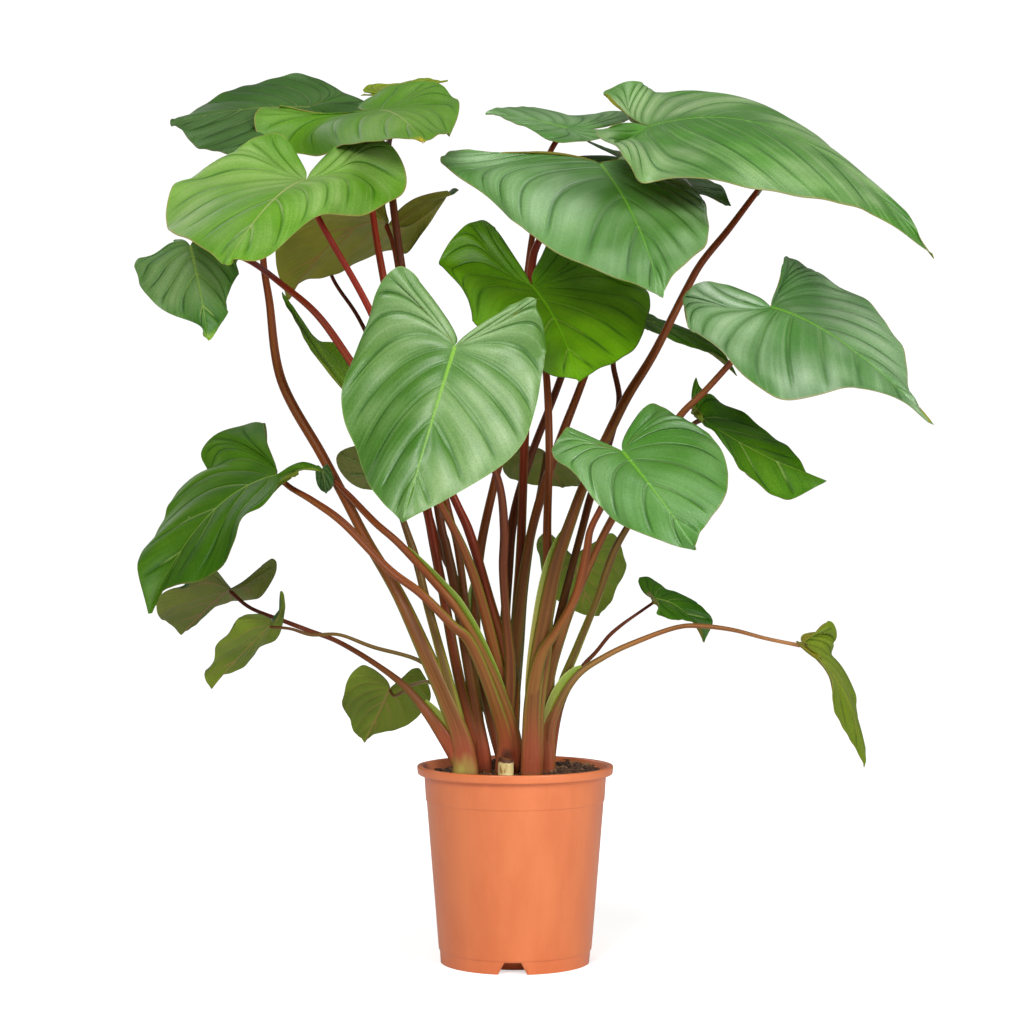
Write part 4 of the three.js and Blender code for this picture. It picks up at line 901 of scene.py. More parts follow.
# stalk finishes: colours from the leaf down to the sheath
stalkFinishes = {
    "red": {"top": "#962416", "middle": "#883018", "low": "#80441c", "sheath": "#76762a", "gloss": 0.38,
            "shine": 0.2},
    "copper": {"top": "#8a3a20", "middle": "#8a481e", "low": "#805222", "sheath": "#76782a",
               "gloss": 0.4, "shine": 0.25},
    "dark": {"top": "#642a1a", "middle": "#6a341c", "low": "#72421e", "sheath": "#5e5a1c", "gloss": 0.4,
             "shine": 0.18},
    "olive": {"top": "#643e16", "middle": "#6e5018", "low": "#74641e", "sheath": "#90a036",
              "gloss": 0.42, "shine": 0.3},
    "tan": {"top": "#bc8450", "middle": "#9c6430", "low": "#745420", "sheath": "#84802a", "gloss": 0.42,
            "shine": 0.3},
}
footColours = {"pink": "#a04630", "pale": "#b4b058", "soilLine": "#6e4a26"}
deadPatch = {"at": (-0.009, -0.03, 0.206), "size": 0.015, "colour": "#3c2214"}
crownLevel = {"bottom": 140, "top": 193, "soil": 186.5}


def stalkFinish(name, tint):
    finish, tree, shader = newFinish("stalk" + name[0].upper() + name[1:])
    where = objectPlace(tree)
    way = mapPlace(tree, "stalkWay")
    around, down, _ = parts(tree, way)
    height = parts(tree, where)[2]
    colour = blend(tree, rise(tree, down, 0.05, 0.4), hue(tint["top"]), hue(tint["middle"]))
    colour = blend(tree, rise(tree, down, 0.45, 0.8), colour, hue(tint["low"]))
    streaks = mottle(tree, stretched(tree, way, (9.0, 2.2, 1.0)), 1.0, 3.0, 0.6)
    toSide = sums(tree, "ABSOLUTE", sums(tree, "COSINE", sums(tree, "MULTIPLY", around, 2 * math.pi)))
    edges = sums(tree, "MULTIPLY", rise(tree, toSide, 0.55, 0.98), rise(tree, down, 0.45, 0.65))
    green = sums(tree, "MULTIPLY_ADD", edges, 0.75,
                 sums(tree, "MULTIPLY", rise(tree, streaks, 0.52, 0.8), 0.5))
    colour = blend(tree, sums(tree, "MINIMUM", green, 1.0), colour, hue(tint["sheath"]))
    darker = blend(tree, 1.0, colour, (0.6, 0.54, 0.48), "MULTIPLY")
    colour = blend(tree, rise(tree, streaks, 0.35, 0.6), darker, colour)
    patches = mottle(tree, where, 40.0, 3.0)
    uneven = sums(tree, "MULTIPLY_ADD", mottle(tree, stretched(tree, where, (1.0, 1.0, 0.4)), 55.0), 0.06,
                  height)
    nearSoil = sums(tree, "SUBTRACT", 1.0, rise(tree, uneven, 0.215, 0.3))
    pink = sums(tree, "MULTIPLY", nearSoil, 0.8)
    colour = blend(tree, pink, colour, hue(footColours["pink"]))
    low = sums(tree, "SUBTRACT", 1.0, rise(tree, uneven, 0.212, 0.238))
    leftFoot = sums(tree, "SUBTRACT", 1.0, rise(tree, parts(tree, where)[0], -0.046, -0.034))
    pale = sums(tree, "MULTIPLY", low, leftFoot)
    colour = blend(tree, sums(tree, "MULTIPLY", pale, 0.85), colour, hue(footColours["pale"]))
    atSoil = sums(tree, "SUBTRACT", 1.0, rise(tree, height, 0.187, 0.196))
    colour = blend(tree, sums(tree, "MULTIPLY", atSoil, 0.8), colour, hue(footColours["soilLine"]))
    toPatch = addNode(tree, "VectorMath", {0: where, 1: deadPatch["at"]},
                      operation="DISTANCE").outputs["Value"]
    toPatch = sums(tree, "MULTIPLY_ADD", patches, 0.012, toPatch)
    fringe = rise(tree, toPatch, deadPatch["size"] * 0.8, deadPatch["size"] * 1.3)
    dead = sums(tree, "SUBTRACT", 1.0, fringe)
    colour = blend(tree, dead, colour, hue(deadPatch["colour"]))
    specks = useGroup(tree, speckGroup, {"Where": where, "Scale": 190.0, "Size": 0.12, "Share": 0.12})
    colour = blend(tree, sums(tree, "MULTIPLY", specks["Specks"], 0.45), colour, hue("#c9a27c"))
    feed(tree, shader.inputs["Base Color"], colour)
    feed(tree, shader.inputs["Roughness"], sums(tree, "MULTIPLY_ADD", patches, 0.2, tint["gloss"] - 0.1))
    shader.inputs["Specular IOR Level"].default_value = tint["shine"]
    ridges = mottle(tree, stretched(tree, way, (26.0, 1.5, 1.0)), 1.0, 2.0)
    feed(tree, shader.inputs["Normal"], raised(tree, ridges, 0.35, 0.0012))
    return finish


def sheathFinish():
    # the thin green wings along the lower stalks
    finish, tree, shader = newFinish("sheathWing")
    way = mapPlace(tree, "stalkWay")
    out, down, _ = parts(tree, way)
    streaks = mottle(tree, stretched(tree, way, (5.0, 2.0, 1.0)), 2.0, 3.0)
    colour = blend(tree, rise(tree, streaks, 0.35, 0.65), hue("#667e1a"), hue("#86a030"))
    # a painted highlight: the wing's outer edge is paler
    colour = blend(tree, rise(tree, out, 0.82, 1.0), colour, hue("#a8b860"))
    colour = blend(tree, rise(tree, down, 0.66, 0.9), colour, hue("#8c7c34"))
    feed(tree, shader.inputs["Base Color"], colour)
    shader.inputs["Roughness"].default_value = 0.45
    feed(tree, shader.inputs["Normal"], raised(tree, streaks, 0.3, 0.0006))
    return finish


stalkTones = {name: stalkFinish(name, tint) for name, tint in stalkFinishes.items()}
wingFinish = sheathFinish()
toneNumber = {name: n for n, name in enumerate(stalkTones)}

tube = {"sides": 16, "ringStep": 5.0, "sheathStart": 0.55, "sheathLength": 0.3, "sheathFlatness": 0.62,
        "footSpread": 0.3}


def seatUnder(leaf):
    surface = bladeSurface(leaf)
    heading = unit(surface(0.05, 0) - surface(0, 0))
    across = unit(surface(0.02, 0.05) - surface(0.02, -0.05))
    up = unit(np.cross(heading, across))
    return surface(0.02, 0) - up * (blade["thickness"] / 2 + 0.9)


class Shape:
    # points and faces of one piece as they are gathered
    def __init__(self):
        self.points, self.faces, self.finishOf, self.way = [], [], [], []
        self.count = 0

    def add(self, points, faces, ways, finish):
        self.faces.extend([v + self.count for v in face] for face in faces)
        self.finishOf.extend([finish] * len(faces))
        self.points.append(np.asarray(points, float))
        self.way.extend(way for face in ways for way in face)
        self.count += len(points)


def tubeRun(stalk, crown):
    # the middle line of a stalk, its frames and its half-widths
    leaf = leaves[stalk["leaf"]]
    given = place(stalk["path"])
    middle = np.array(crown[:2], float)
    aside = given[-1][:2] - middle
    foot = middle + aside * min(1.0, crown[2] * 0.45 / np.linalg.norm(aside))
    points = [seatUnder(leaf), *given,
              (*foot, crownLevel["soil"] + 6), (*foot, crownLevel["bottom"] + 20)]
    length = sum(np.linalg.norm(np.diff(points, axis=0), axis=1))
    rings = int(length / tube["ringStep"])
    share = np.linspace(0, 1, rings + 1)
    centres = along(points, share)
    ahead = unit(np.gradient(centres, axis=0)) * -1
    sideways = np.zeros_like(centres)
    last = np.array([1.0, 0, 0])
    for n in range(rings, -1, -1):
        last = unit(last - ahead[n] * last.dot(ahead[n]))
        sideways[n] = last
    depthways = np.cross(ahead, sideways)
    leafEnd, halfWay, base = stalk["girth"]
    thin = leafEnd + (halfWay - leafEnd) * smooth(share / tube["sheathStart"])
    sheath = smooth((share - tube["sheathStart"]) / tube["sheathLength"])
    nearSoil = 1 + tube["footSpread"] * smooth((250 - centres[:, 2]) / 60)
    wide = (thin + (base - thin) * sheath) * nearSoil
    deep = np.minimum(wide, (thin + (base * tube["sheathFlatness"] - thin) * sheath) * nearSoil)
    return share, centres, sideways, depthways, wide, deep, sheath


def addStalk(shape, stalk, crown, number):
    share, centres, sideways, depthways, wide, deep, sheath = tubeRun(stalk, crown)
    sides = tube["sides"]
    angle = 2 * np.pi * np.arange(sides) / sides
    # the joint below the leaf is a little thicker
    swelling = 1 + 0.12 * np.exp(-((share - 0.012) / 0.02) ** 2)
    unevenness = 1 + 0.05 * np.sin(share * 21 + number) * smooth(share * 4)
    belowLeaf = np.clip(0.3 + share * len(share) * tube["ringStep"] / 6, 0, 1)
    wide, deep = wide * belowLeaf, deep * belowLeaf
    x = (wide * swelling * unevenness)[:, None] * np.cos(angle)[None]
    y = (deep * swelling)[:, None] * np.sin(angle)[None]
    # a shallow channel runs along the side of the sheath that faces up
    channel = 0.22 * sheath[:, None] * np.exp(-((angle[None] - 1.5 * np.pi) / 0.5) ** 2) * deep[:, None]
    y = y + channel * stalk.get("channel", 1)
    points = (centres[:, None] + sideways[:, None] * x[..., None] + depthways[:, None] * y[..., None])
    rings = len(share) - 1
    faces, ways = [], []
    for n in range(rings):
        for k in range(sides):
            k2 = (k + 1) % sides
            faces.append([n * sides + k, (n + 1) * sides + k, (n + 1) * sides + k2, n * sides + k2])
            u = (k / sides + number, (k + 1) / sides + number)
            ways.append([(u[0], share[n]), (u[0], share[n + 1]), (u[1], share[n + 1]), (u[1], share[n])])
    faces.append(list(range(sides)))
    ways.append([(0.5, 0.0)] * sides)
    last = rings * sides
    faces.append([last + k for k in reversed(range(sides))])
    ways.append([(0.5, 1.0)] * sides)
    shape.add(points.reshape(-1, 3), faces, ways, toneNumber[stalk.get("tone", "copper")])


def addWing(shape, stalk, crown, wing):
    # a thin wing along one side of a stalk: side -1 left or 1 right, from one share of the stalk to another
    share, centres, sideways, depthways, wide, deep, _ = tubeRun(stalk, crown)
    inside = (share >= wing["from"]) & (share <= wing["to"])
    s, c, sw, dw, half = share[inside], centres[inside], sideways[inside], depthways[inside], wide[inside]
    t = (s - wing["from"]) / (wing["to"] - wing["from"])
    breadth = wing["width"] * np.abs(np.sin(np.pi * np.clip(t, 0.0, 1.0) ** 0.75)) ** 0.8
    across = 5
    points, thick = [], 0.35
    for m in range(across):
        out = m / (across - 1)
        curl = np.sin(out * 1.5) * wing.get("curl", 0.4) * breadth
        outward = wing["side"] * (half * 0.75 + breadth * out)
        edge = c + sw * outward[:, None] - dw * (curl - half * 0.1)[:, None]
        points.append(edge)
    points = np.stack(points, axis=1)
    front = points - dw[:, None] * thick
    back = points + dw[:, None] * thick
    n = len(s)
    faces, ways = [], []
    both = np.stack([front, back], axis=0).reshape(-1, 3)

    def at(layer, i, m):
        return layer * n * across + i * across + m

    def put(ring, way):
        faces.append(ring if wing["side"] > 0 else ring[::-1])
        ways.append(way if wing["side"] > 0 else way[::-1])

    for i in range(n - 1):
        for m in range(across - 1):
            w = [(m / 4, s[i]), ((m + 1) / 4, s[i]), ((m + 1) / 4, s[i + 1]), (m / 4, s[i + 1])]
            put([at(0, i, m), at(0, i, m + 1), at(0, i + 1, m + 1), at(0, i + 1, m)][::-1], w[::-1])
            put([at(1, i, m), at(1, i, m + 1), at(1, i + 1, m + 1), at(1, i + 1, m)], w)
        for m, turn in ((0, 1), (across - 1, -1)):
            ring = [at(0, i, m), at(0, i + 1, m), at(1, i + 1, m), at(1, i, m)][::turn]
            put(ring[::-1], [(m / 4, s[i])] * 4)
    for i, turn in ((0, 1), (n - 1, -1)):
        for m in range(across - 1):
            ring = [at(0, i, m), at(0, i, m + 1), at(1, i, m + 1), at(1, i, m)][::turn]
            put(ring, [(m / 4, s[i])] * 4)
    shape.add(both, faces, ways, len(stalkTones))


def addCrown(shape, crown, number):
    x, y, radius = crown
    profile = [(0.6, crownLevel["bottom"]), (1, crownLevel["bottom"] + 14), (1, 170), (1, 180), (0.92, 185),
               (0.7, 189), (0.4, 192), (0.1, crownLevel["top"])]
    sides = 24
    points = []
    for out, z in profile:
        for k in range(sides):
            angle = 2 * math.pi * k / sides
            lump = 1 + 0.05 * math.sin(3 * angle + number) + 0.03 * math.sin(7 * angle + z * 0.3)
            points.append((x + radius * out * lump * math.cos(angle),
                           y + radius * out * lump * math.sin(angle), z))
    faces, ways = [], []
    for r in range(len(profile) - 1):
        for k in range(sides):
            k2 = (k + 1) % sides
            faces.append([r * sides + k, r * sides + k2, (r + 1) * sides + k2, (r + 1) * sides + k])
            ways.append([(k / sides, 0.97)] * 4)
    faces.append([(len(profile) - 1) * sides + k for k in range(sides)])
    ways.append([(0.5, 0.97)] * sides)
    faces.append([k for k in reversed(range(sides))])
    ways.append([(0.5, 1.0)] * sides)
    shape.add(points, faces, ways, toneNumber["copper"])


def shootOf(name, shoot, number):
    shape = Shape()
    addCrown(shape, shoot["crown"], number)
    for n, stalk in enumerate(shoot["stalks"]):
        addStalk(shape, stalk, shoot["crown"], number * 7 + n)
        for wing in stalk.get("wings", []):
            addWing(shape, stalk, shoot["crown"], wing)
    finishes = [*stalkTones.values(), wingFinish]
    return makePiece("shoot" + name[0].upper() + name[1:], np.vstack(shape.points), shape.faces, finishes,
                     "stalk", [shoot["node"]], shape.finishOf, {"stalkWay": shape.way}, sharp=60)


# each shoot: its crown (across, depth, radius) and its stalks from just under the leaf down;
# girth: half-widths at the leaf, half way down and at the sheath
shoots = {
    "left": {
        "node": "shoot_left", "crown": (-44.7, -30, 10.5),
        "stalks": [
            {"leaf": "topLeft", "girth": (2.85, 5.43, 9.5), "tone": "copper",
             "path": [(-243, 145, 811), (-253, 130, 761), (-252, 112, 701), (-246, 100, 660),
                      (-234, 78, 581),
                      (-194, 50, 507), (-172, 30, 466), (-147, 5, 418), (-117, -18, 367), (-91, -32, 311),
                      (-69, -36, 261), (-54, -33, 222)]},
            {"leaf": "leftFolded", "girth": (2.47, 4.46, 8), "tone": "olive",
             "path": [(-132, -30, 501), (-111, -30, 437), (-99, -30, 401), (-88, -33, 357), (-69, -36, 287),
                      (-53, -33, 222)]},
            {"leaf": "lowLeft", "girth": (1.9, 2.72, 7), "tone": "dark",
             "wings": [{"side": 1, "from": 0.7, "to": 0.93, "width": 8.0}],
             "path": [(-265, 68, 353), (-232, 52, 340), (-206, 42, 330), (-177, 28, 319), (-140, 2, 297),
                      (-107, -18, 271), (-77, -30, 233)]},
            {"leaf": "lowLeftSmall", "girth": (1.52, 1.94, 4), "tone": "olive",
             "path": [(-225, 10, 332), (-204, 6, 326), (-176, -2, 326), (-143, -12, 314), (-91, -28, 297),
                      (-75, -31, 261)]},
            {"leaf": "lowLeftInner", "girth": (1.52, 1.94, 3.5), "tone": "olive",
             "path": [(-121, 50, 265), (-112, 40, 269), (-102, 20, 276), (-83, -12, 277), (-69, -25, 249)]},
        ],
    },
    "leftBack": {
        "node": "shoot_left_back", "crown": (-28, -3, 8),
        "stalks": [
            {"leaf": "topLeftLow", "girth": (2.85, 4.46, 6), "tone": "red",
             "path": [(-149, 60, 801), (-142, 45, 744), (-131, 30, 679), (-89, -2, 458), (-81, -5, 416),
                      (-74, -6, 379), (-59, -6, 296), (-45, -6, 236)]},
            {"leaf": "topLeftBack", "girth": (2.79, 4.37, 6.5), "tone": "dark",
             "path": [(-122, 190, 841), (-127, 112, 811), (-123, 62, 765), (-113, 46, 691), (-78, 14, 458),
                      (-69, 10, 414), (-58, 4, 361), (-37, -5, 236)]},
            {"leaf": "leftBehind", "girth": (2.28, 3.69, 5), "tone": "copper",
             "path": [(-122, 88, 716), (-116, 78, 686), (-100, 56, 601), (-68, 24, 456), (-58, 14, 416),
                      (-49, 6, 351), (-43, 0, 296)]},
            {"leaf": "behindFront", "girth": (2.09, 3.3, 5), "tone": "dark",
             "path": [(-113, 3, 486), (-93, 0, 459), (-82, -4, 411), (-68, -6, 341), (-50, -5, 261)]},
        ],
    },
    "middle": {
        "node": "shoot_middle", "crown": (-10, -12, 8.5),
        "stalks": [
            {"leaf": "leftMiddle", "girth": (2.66, 4.46, 7.5), "tone": "copper",
             "path": [(-231, -12, 478), (-223, -15, 472), (-201, -28, 459), (-171, -46, 437),
                      (-127, -66, 392),
                      (-94, -70, 367), (-63, -64, 336), (-45, -56, 318), (-25, -38, 271), (-10, -18, 221)]},
            {"leaf": "leftTiny", "girth": (2.28, 4.27, 8), "tone": "copper",
             "wings": [{"side": 1, "from": 0.42, "to": 0.76, "width": 7.0}],
             "path": [(-187, 25, 487), (-176, 22, 475), (-165, 4, 464), (-140, -34, 438), (-114, -50, 415),
                      (-73, -60, 370), (-56, -57, 348), (-35, -46, 311), (-13, -28, 261), (-3, -16, 221)]},
            {"leaf": "leftBroad", "girth": (2.79, 4.54, 8), "tone": "red",
             "path": [(-197, -52, 743), (-146, -44, 652), (-103, -40, 551), (-59, -38, 458),
                      (-44, -37, 423),
                      (-23, -32, 353), (-11, -25, 314), (-3, -18, 271)]},
            {"leaf": "leftHanging", "girth": (2.47, 3.88, 6), "tone": "red",
             "path": [(-312, 14, 710), (-293, 20, 710), (-264, 6, 699), (-234, -42, 677), (-198, -56, 646),
                      (-165, -56, 600), (-120, -54, 529), (-73, -52, 453), (-44, -46, 392), (-21, -30, 311),
                      (-9, -18, 251)]},
            {"leaf": "frontPale", "girth": (2.85, 4.46, 6.5), "tone": "dark",
             "path": [(-52, -160, 581), (-40, -135, 531), (-17, -105, 481), (-11, -80, 432),
                      (-12, -62, 392),
                      (-9, -45, 343), (-5, -32, 296), (-7, -18, 236)]},
        ],
    },
    "back": {
        "node": "shoot_back", "crown": (-5, 22, 9),
        "stalks": [
            {"leaf": "topCentre", "girth": (2.85, 4.46, 6.5), "tone": "copper",
             "wings": [{"side": -1, "from": 0.6, "to": 0.82, "width": 7.5}],
             "path": [(31, 60, 798), (17, 56, 724), (7, 52, 641), (-8, 46, 531), (-20, 43, 481),
                      (-34, 36, 416), (-39, 32, 361), (-38, 28, 303), (-23, 24, 241)]},
            {"leaf": "topRightBack", "girth": (2.85, 4.66, 6.5), "tone": "dark",
             "path": [(89, 130, 721), (67, 105, 651), (46, 85, 584), (14, 60, 500), (-2, 46, 441),
                      (-7, 38, 386), (-11, 28, 321), (-10, 24, 251)]},
            {"leaf": "topRight", "girth": (2.95, 4.7, 7), "tone": "copper",
             "path": [(133, 40, 816), (125, 60, 771), (107, 56, 691), (69, 36, 584), (48, 27, 529),
                      (30, 20, 477), (17, 18, 432), (8, 18, 382), (1, 20, 321), (-5, 21, 251)]},
            {"leaf": "upperBroad", "girth": (2.79, 4.7, 7), "tone": "red",
             "path": [(70, -12, 776), (48, 10, 747), (23, 32, 718), (15, 36, 675), (10, 32, 541),
                      (6, 26, 422), (2, 24, 343), (-3, 22, 251)]},
            {"leaf": "centreBack", "girth": (2.09, 4.27, 5.5), "tone": "olive",
             "path": [(28, 95, 491), (21, 78, 451), (14, 62, 411), (9, 48, 371), (5, 36, 321),
                      (-1, 26, 251)]},
            {"leaf": "leftHidden", "girth": (1.9, 3.3, 5), "tone": "dark",
             "path": [(-184, 195, 686), (-154, 165, 638), (-115, 115, 551), (-90, 75, 461), (-72, 52, 405),
                      (-49, 40, 363), (-31, 30, 301), (-15, 24, 231)]},
        ],
    },
    "front": {
        "node": "shoot_front", "crown": (14, -30, 10),
        "stalks": [
            {"leaf": "centreDark", "girth": (2.85, 4.46, 7), "tone": "copper",
             "path": [(23, 10, 636), (31, 4, 588), (34, -12, 512), (32, -30, 432), (33, -35, 371),
                      (32, -35, 316), (23, -33, 256)]},
            {"leaf": "topRightHidden", "girth": (2.66, 4.85, 8), "tone": "copper",
             "wings": [{"side": -1, "from": 0.68, "to": 0.9, "width": 7.0}],
             "path": [(251, 42, 779), (241, 34, 768), (213, 22, 731), (187, 14, 699), (171, 8, 671),
                      (139, -6, 608), (112, -16, 564), (93, -24, 526), (71, -32, 481), (55, -38, 438),
                      (41, -42, 396), (30, -42, 343), (19, -38, 271)]},
            {"leaf": "middleRight", "girth": (2.66, 4.27, 8), "tone": "copper",
             "path": [(103, -112, 486), (86, -95, 453), (75, -84, 430), (71, -78, 406), (61, -66, 366),
                      (43, -54, 333), (25, -44, 303), (16, -36, 251)]},
        ],
    },
    "right": {
        "node": "shoot_right", "crown": (30, -10, 8.5),
        "stalks": [
            {"leaf": "rightEdgeOn", "girth": (2.09, 3.88, 5), "tone": "dark",
             "path": [(105, 52, 616), (98, 46, 598), (104, 36, 561), (95, 24, 521), (77, 8, 469),
                      (67, -2, 432), (47, -12, 354), (33, -12, 281)]},
            {"leaf": "rightLarge", "girth": (2.62, 4.03, 6), "tone": "copper",
             "path": [(240, -95, 626), (219, -85, 602), (190, -72, 570), (165, -64, 545), (135, -52, 501),
                      (96, -38, 440), (70, -26, 386), (48, -20, 333), (32, -13, 271)]},
            {"leaf": "rightCurled", "girth": (2.47, 3.88, 4.6), "tone": "olive",
             "path": [(175, -25, 533), (155, -20, 501), (110, -20, 430), (96, -20, 402), (82, -20, 362),
                      (62, -9, 313), (42, -5, 261)]},
            {"leaf": "lowRightRound", "girth": (1.71, 2.33, 4), "tone": "dark",
             "path": [(53, 90, 381), (48, 70, 363), (43, 45, 341), (39, 20, 311), (35, 0, 251)]},
            {"leaf": "lowRightSmall", "girth": (1.52, 2.13, 4), "tone": "dark",
             "path": [(125, 50, 349), (108, 40, 337), (94, 30, 325), (81, 18, 309), (66, 6, 292),
                      (46, -4, 256)]},
            {"leaf": "rightHanging", "girth": (1.9, 2.72, 5), "tone": "tan",
             "wings": [{"side": -1, "from": 0.66, "to": 0.86, "width": 9.0}],
             "path": [(252, -15, 322), (217, -8, 331), (183, -2, 335), (160, 2, 333), (126, 4, 321),
                      (91, -6, 305), (59, -14, 282), (37, -14, 239)]},
        ],
    },
}
for number, (name, shoot) in enumerate(shoots.items()):
    shootOf(name, shoot, number)
print(len(shoots), "shoots built")

# grow pot, sizes in millimetres
pot = {
    "rimRadius": 98.2, "rimTop": 195.8, "rimRoll": 8.2, "lipRadius": 92.6, "wall": 1.9,
    "bodyTopRadius": 91.0, "stepHeight": 161.2, "stepRadius": 89.3, "footHeight": 13.2, "footRadius": 75.0,
    "bodyFootRadius": 76.4, "standRadius": 50.0, "channelHeight": 12.8, "floorThickness": 2.4,
    "drainHoles": 8, "drainHoleRadius": 5.0, "notches": 4, "notchBottom": 30.0, "notchTop": 16.0,
    "notchHeight": 12.0, "sides": 176,
    "colour": "#d87846", "shade": "#ce6d3c", "scuff": "#e28c5c", "gloss": 0.36,
}


def rounded(profile, radius, points=4):
    # the same profile with each inner corner turned into a small arc
    soft = [profile[0]]
    for before, corner, after in zip(profile, profile[1:], profile[2:]):
        b, c, a = (np.array(p, float) for p in (before, corner, after))
        reach = min(radius, np.linalg.norm(b - c) * 0.45, np.linalg.norm(a - c) * 0.45)
        start, end = c + unit(b - c) * reach, c + unit(a - c) * reach
        for t in np.linspace(0, 1, points):
            soft.append(tuple(start * (1 - t) ** 2 + c * 2 * t * (1 - t) + end * t ** 2))
    return [*soft, profile[-1]]


def turned(profile, sides, height=None):
    # rings of points about the vertical axis and the faces between them; a ring of radius 0 is one point
    points, rings, faces = [], [], []
    for radius, z in profile:
        if radius < 1e-6:
            rings.append([len(points)])
            points.append((0, 0, z))
        else:
            rings.append(list(range(len(points), len(points) + sides)))
            angle = 2 * np.pi * np.arange(sides) / sides
            points.extend(zip(radius * np.cos(angle), radius * np.sin(angle), [z] * sides))
    for lower, upper in zip(rings, rings[1:]):
        for k in range(sides):
            ring = [lower[k % len(lower)], lower[(k + 1) % len(lower)], upper[(k + 1) % len(upper)],
                    upper[k % len(upper)]]
            kept = [v for n, v in enumerate(ring) if v != ring[n - 1]]
            faces.append(kept)
    return np.array(points, float), faces


def potFinish():
    finish, tree, shader = newFinish("growPotPlastic")
    where = objectPlace(tree)
    clouds = mottle(tree, stretched(tree, where, (1.0, 1.0, 0.35)), 26.0, 4.0, 0.6)
    colour = blend(tree, rise(tree, clouds, 0.3, 0.7), hue(pot["shade"]), hue(pot["colour"]))
    scratches = mottle(tree, stretched(tree, where, (160.0, 160.0, 7.0)), 1.0, 2.0)
    scuffs = sums(tree, "MULTIPLY", rise(tree, scratches, 0.66, 0.8),
                  rise(tree, mottle(tree, where, 9.0), 0.5, 0.7))
    colour = blend(tree, sums(tree, "MULTIPLY", scuffs, 0.4), colour, hue(pot["scuff"]))
    specks = useGroup(tree, speckGroup, {"Where": where, "Scale": 130.0, "Size": 0.1, "Share": 0.04})
    colour = blend(tree, sums(tree, "MULTIPLY", specks["Specks"], 0.3), colour, hue("#b4562c"))
    feed(tree, shader.inputs["Base Color"], colour)
    feed(tree, shader.inputs["Roughness"], sums(tree, "MULTIPLY_ADD", clouds, 0.16, pot["gloss"] - 0.08))
    texture = mottle(tree, where, 1300.0, 2.0)
    dimples = sums(tree, "MULTIPLY_ADD", clouds, 1.2, sums(tree, "MULTIPLY", texture, 0.5))
    feed(tree, shader.inputs["Normal"], raised(tree, dimples, 0.22, 0.0005))
    return finish


def cutAway(piece, cutters):
    for cutter in cutters:
        tool = piece.modifiers.new("cut", "BOOLEAN")
        tool.operation, tool.solver, tool.object = "DIFFERENCE", "EXACT", cutter
    bpy.context.view_layer.update()
    shaped = bpy.data.meshes.new_from_object(piece.evaluated_get(bpy.context.evaluated_depsgraph_get()))
    piece.modifiers.clear()
    piece.data = shaped
    for cutter in cutters:
        bpy.data.objects.remove(cutter)


def cutterOf(points, faces, turn):
    c, s = math.cos(math.radians(turn)), math.sin(math.radians(turn))
    mesh = bpy.data.meshes.new("cutter")
    mesh.from_pydata([((x * c - y * s) * mm, (x * s + y * c) * mm, z * mm) for x, y, z in points], [],
                     faces)
    cutter = bpy.data.objects.new("cutter", mesh)
    bpy.context.scene.collection.objects.link(cutter)
    return cutter


def growPot():
    p = pot
    rimBottom = p["rimTop"] - p["rimRoll"]
    profile = [
        (0, 0), (p["standRadius"], 0), (p["standRadius"] + 2.5, p["channelHeight"]),
        (p["footRadius"] - 2.6, p["channelHeight"]), (p["footRadius"] - 2.4, 0), (p["footRadius"], 0),
        (p["footRadius"] + 0.4, p["footHeight"] - 0.8), (p["bodyFootRadius"], p["footHeight"] + 0.2),
        (p["stepRadius"] - 0.8, p["stepHeight"] - 0.8), (p["stepRadius"], p["stepHeight"] + 0.2),
        (p["bodyTopRadius"], rimBottom - 0.2), (p["rimRadius"] - 0.8, rimBottom - 0.2),
        (p["rimRadius"], p["rimTop"]), (p["lipRadius"], p["rimTop"]),
        (p["bodyTopRadius"] - p["wall"], rimBottom - 3),
        (p["stepRadius"] - 0.8 - p["wall"], p["stepHeight"] - 1),
        (p["bodyFootRadius"] - p["wall"], p["channelHeight"] + p["floorThickness"]),
        (p["standRadius"], p["channelHeight"] + p["floorThickness"]),
        (p["standRadius"] - 2.5, p["floorThickness"]), (0, p["floorThickness"]),
    ]
    points, faces = turned(rounded(profile, 1.5), p["sides"])
    piece = makePiece("growPot", points, faces, [potFinish()], "pot_plastic", ["pot"], sharp=38)
    cutters = []
    low, high, top = p["notchBottom"] / 2, p["notchTop"] / 2, p["notchHeight"]
    inner, outer = p["footRadius"] - 9, p["footRadius"] + 3
    face = ((-low, -1), (low, -1), (high, top), (-high, top))
    block = [(x, y, z) for y in (-outer, -inner) for x, z in face]
    blockFaces = [(0, 1, 2, 3), (7, 6, 5, 4), (0, 4, 5, 1), (1, 5, 6, 2), (2, 6, 7, 3), (3, 7, 4, 0)]
    for n in range(p["notches"]):
        cutters.append(cutterOf(block, blockFaces, 360 * n / p["notches"] - 2))
    sides = 24
    radius, middle = p["drainHoleRadius"], (p["standRadius"] + p["footRadius"]) / 2
    ring = [(middle + radius * math.cos(2 * math.pi * k / sides),
             radius * math.sin(2 * math.pi * k / sides))
            for k in range(sides)]
    drill = [(x, y, p["channelHeight"] + above) for above in (-5, 7) for x, y in ring]
    drillFaces = [[k, (k + 1) % sides, sides + (k + 1) % sides, sides + k] for k in range(sides)]
    drillFaces += [list(reversed(range(sides))), list(range(sides, 2 * sides))]
    for n in range(p["drainHoles"]):
        cutters.append(cutterOf(drill, drillFaces, 360 * (n + 0.5) / p["drainHoles"]))
    cutAway(piece, cutters)
    return piece


growPot()
print("grow pot built")

# potting soil: a crumbly mound with fibres, bark and a few light grains
soil = {"top": 186.5, "mound": 5.0, "radius": 88.6, "rings": 60, "around": 200, "crumbs": 420,
        "fibres": 260,
        "dark": "#2b1a12", "brown": "#5a3a26", "gloss": 0.85}


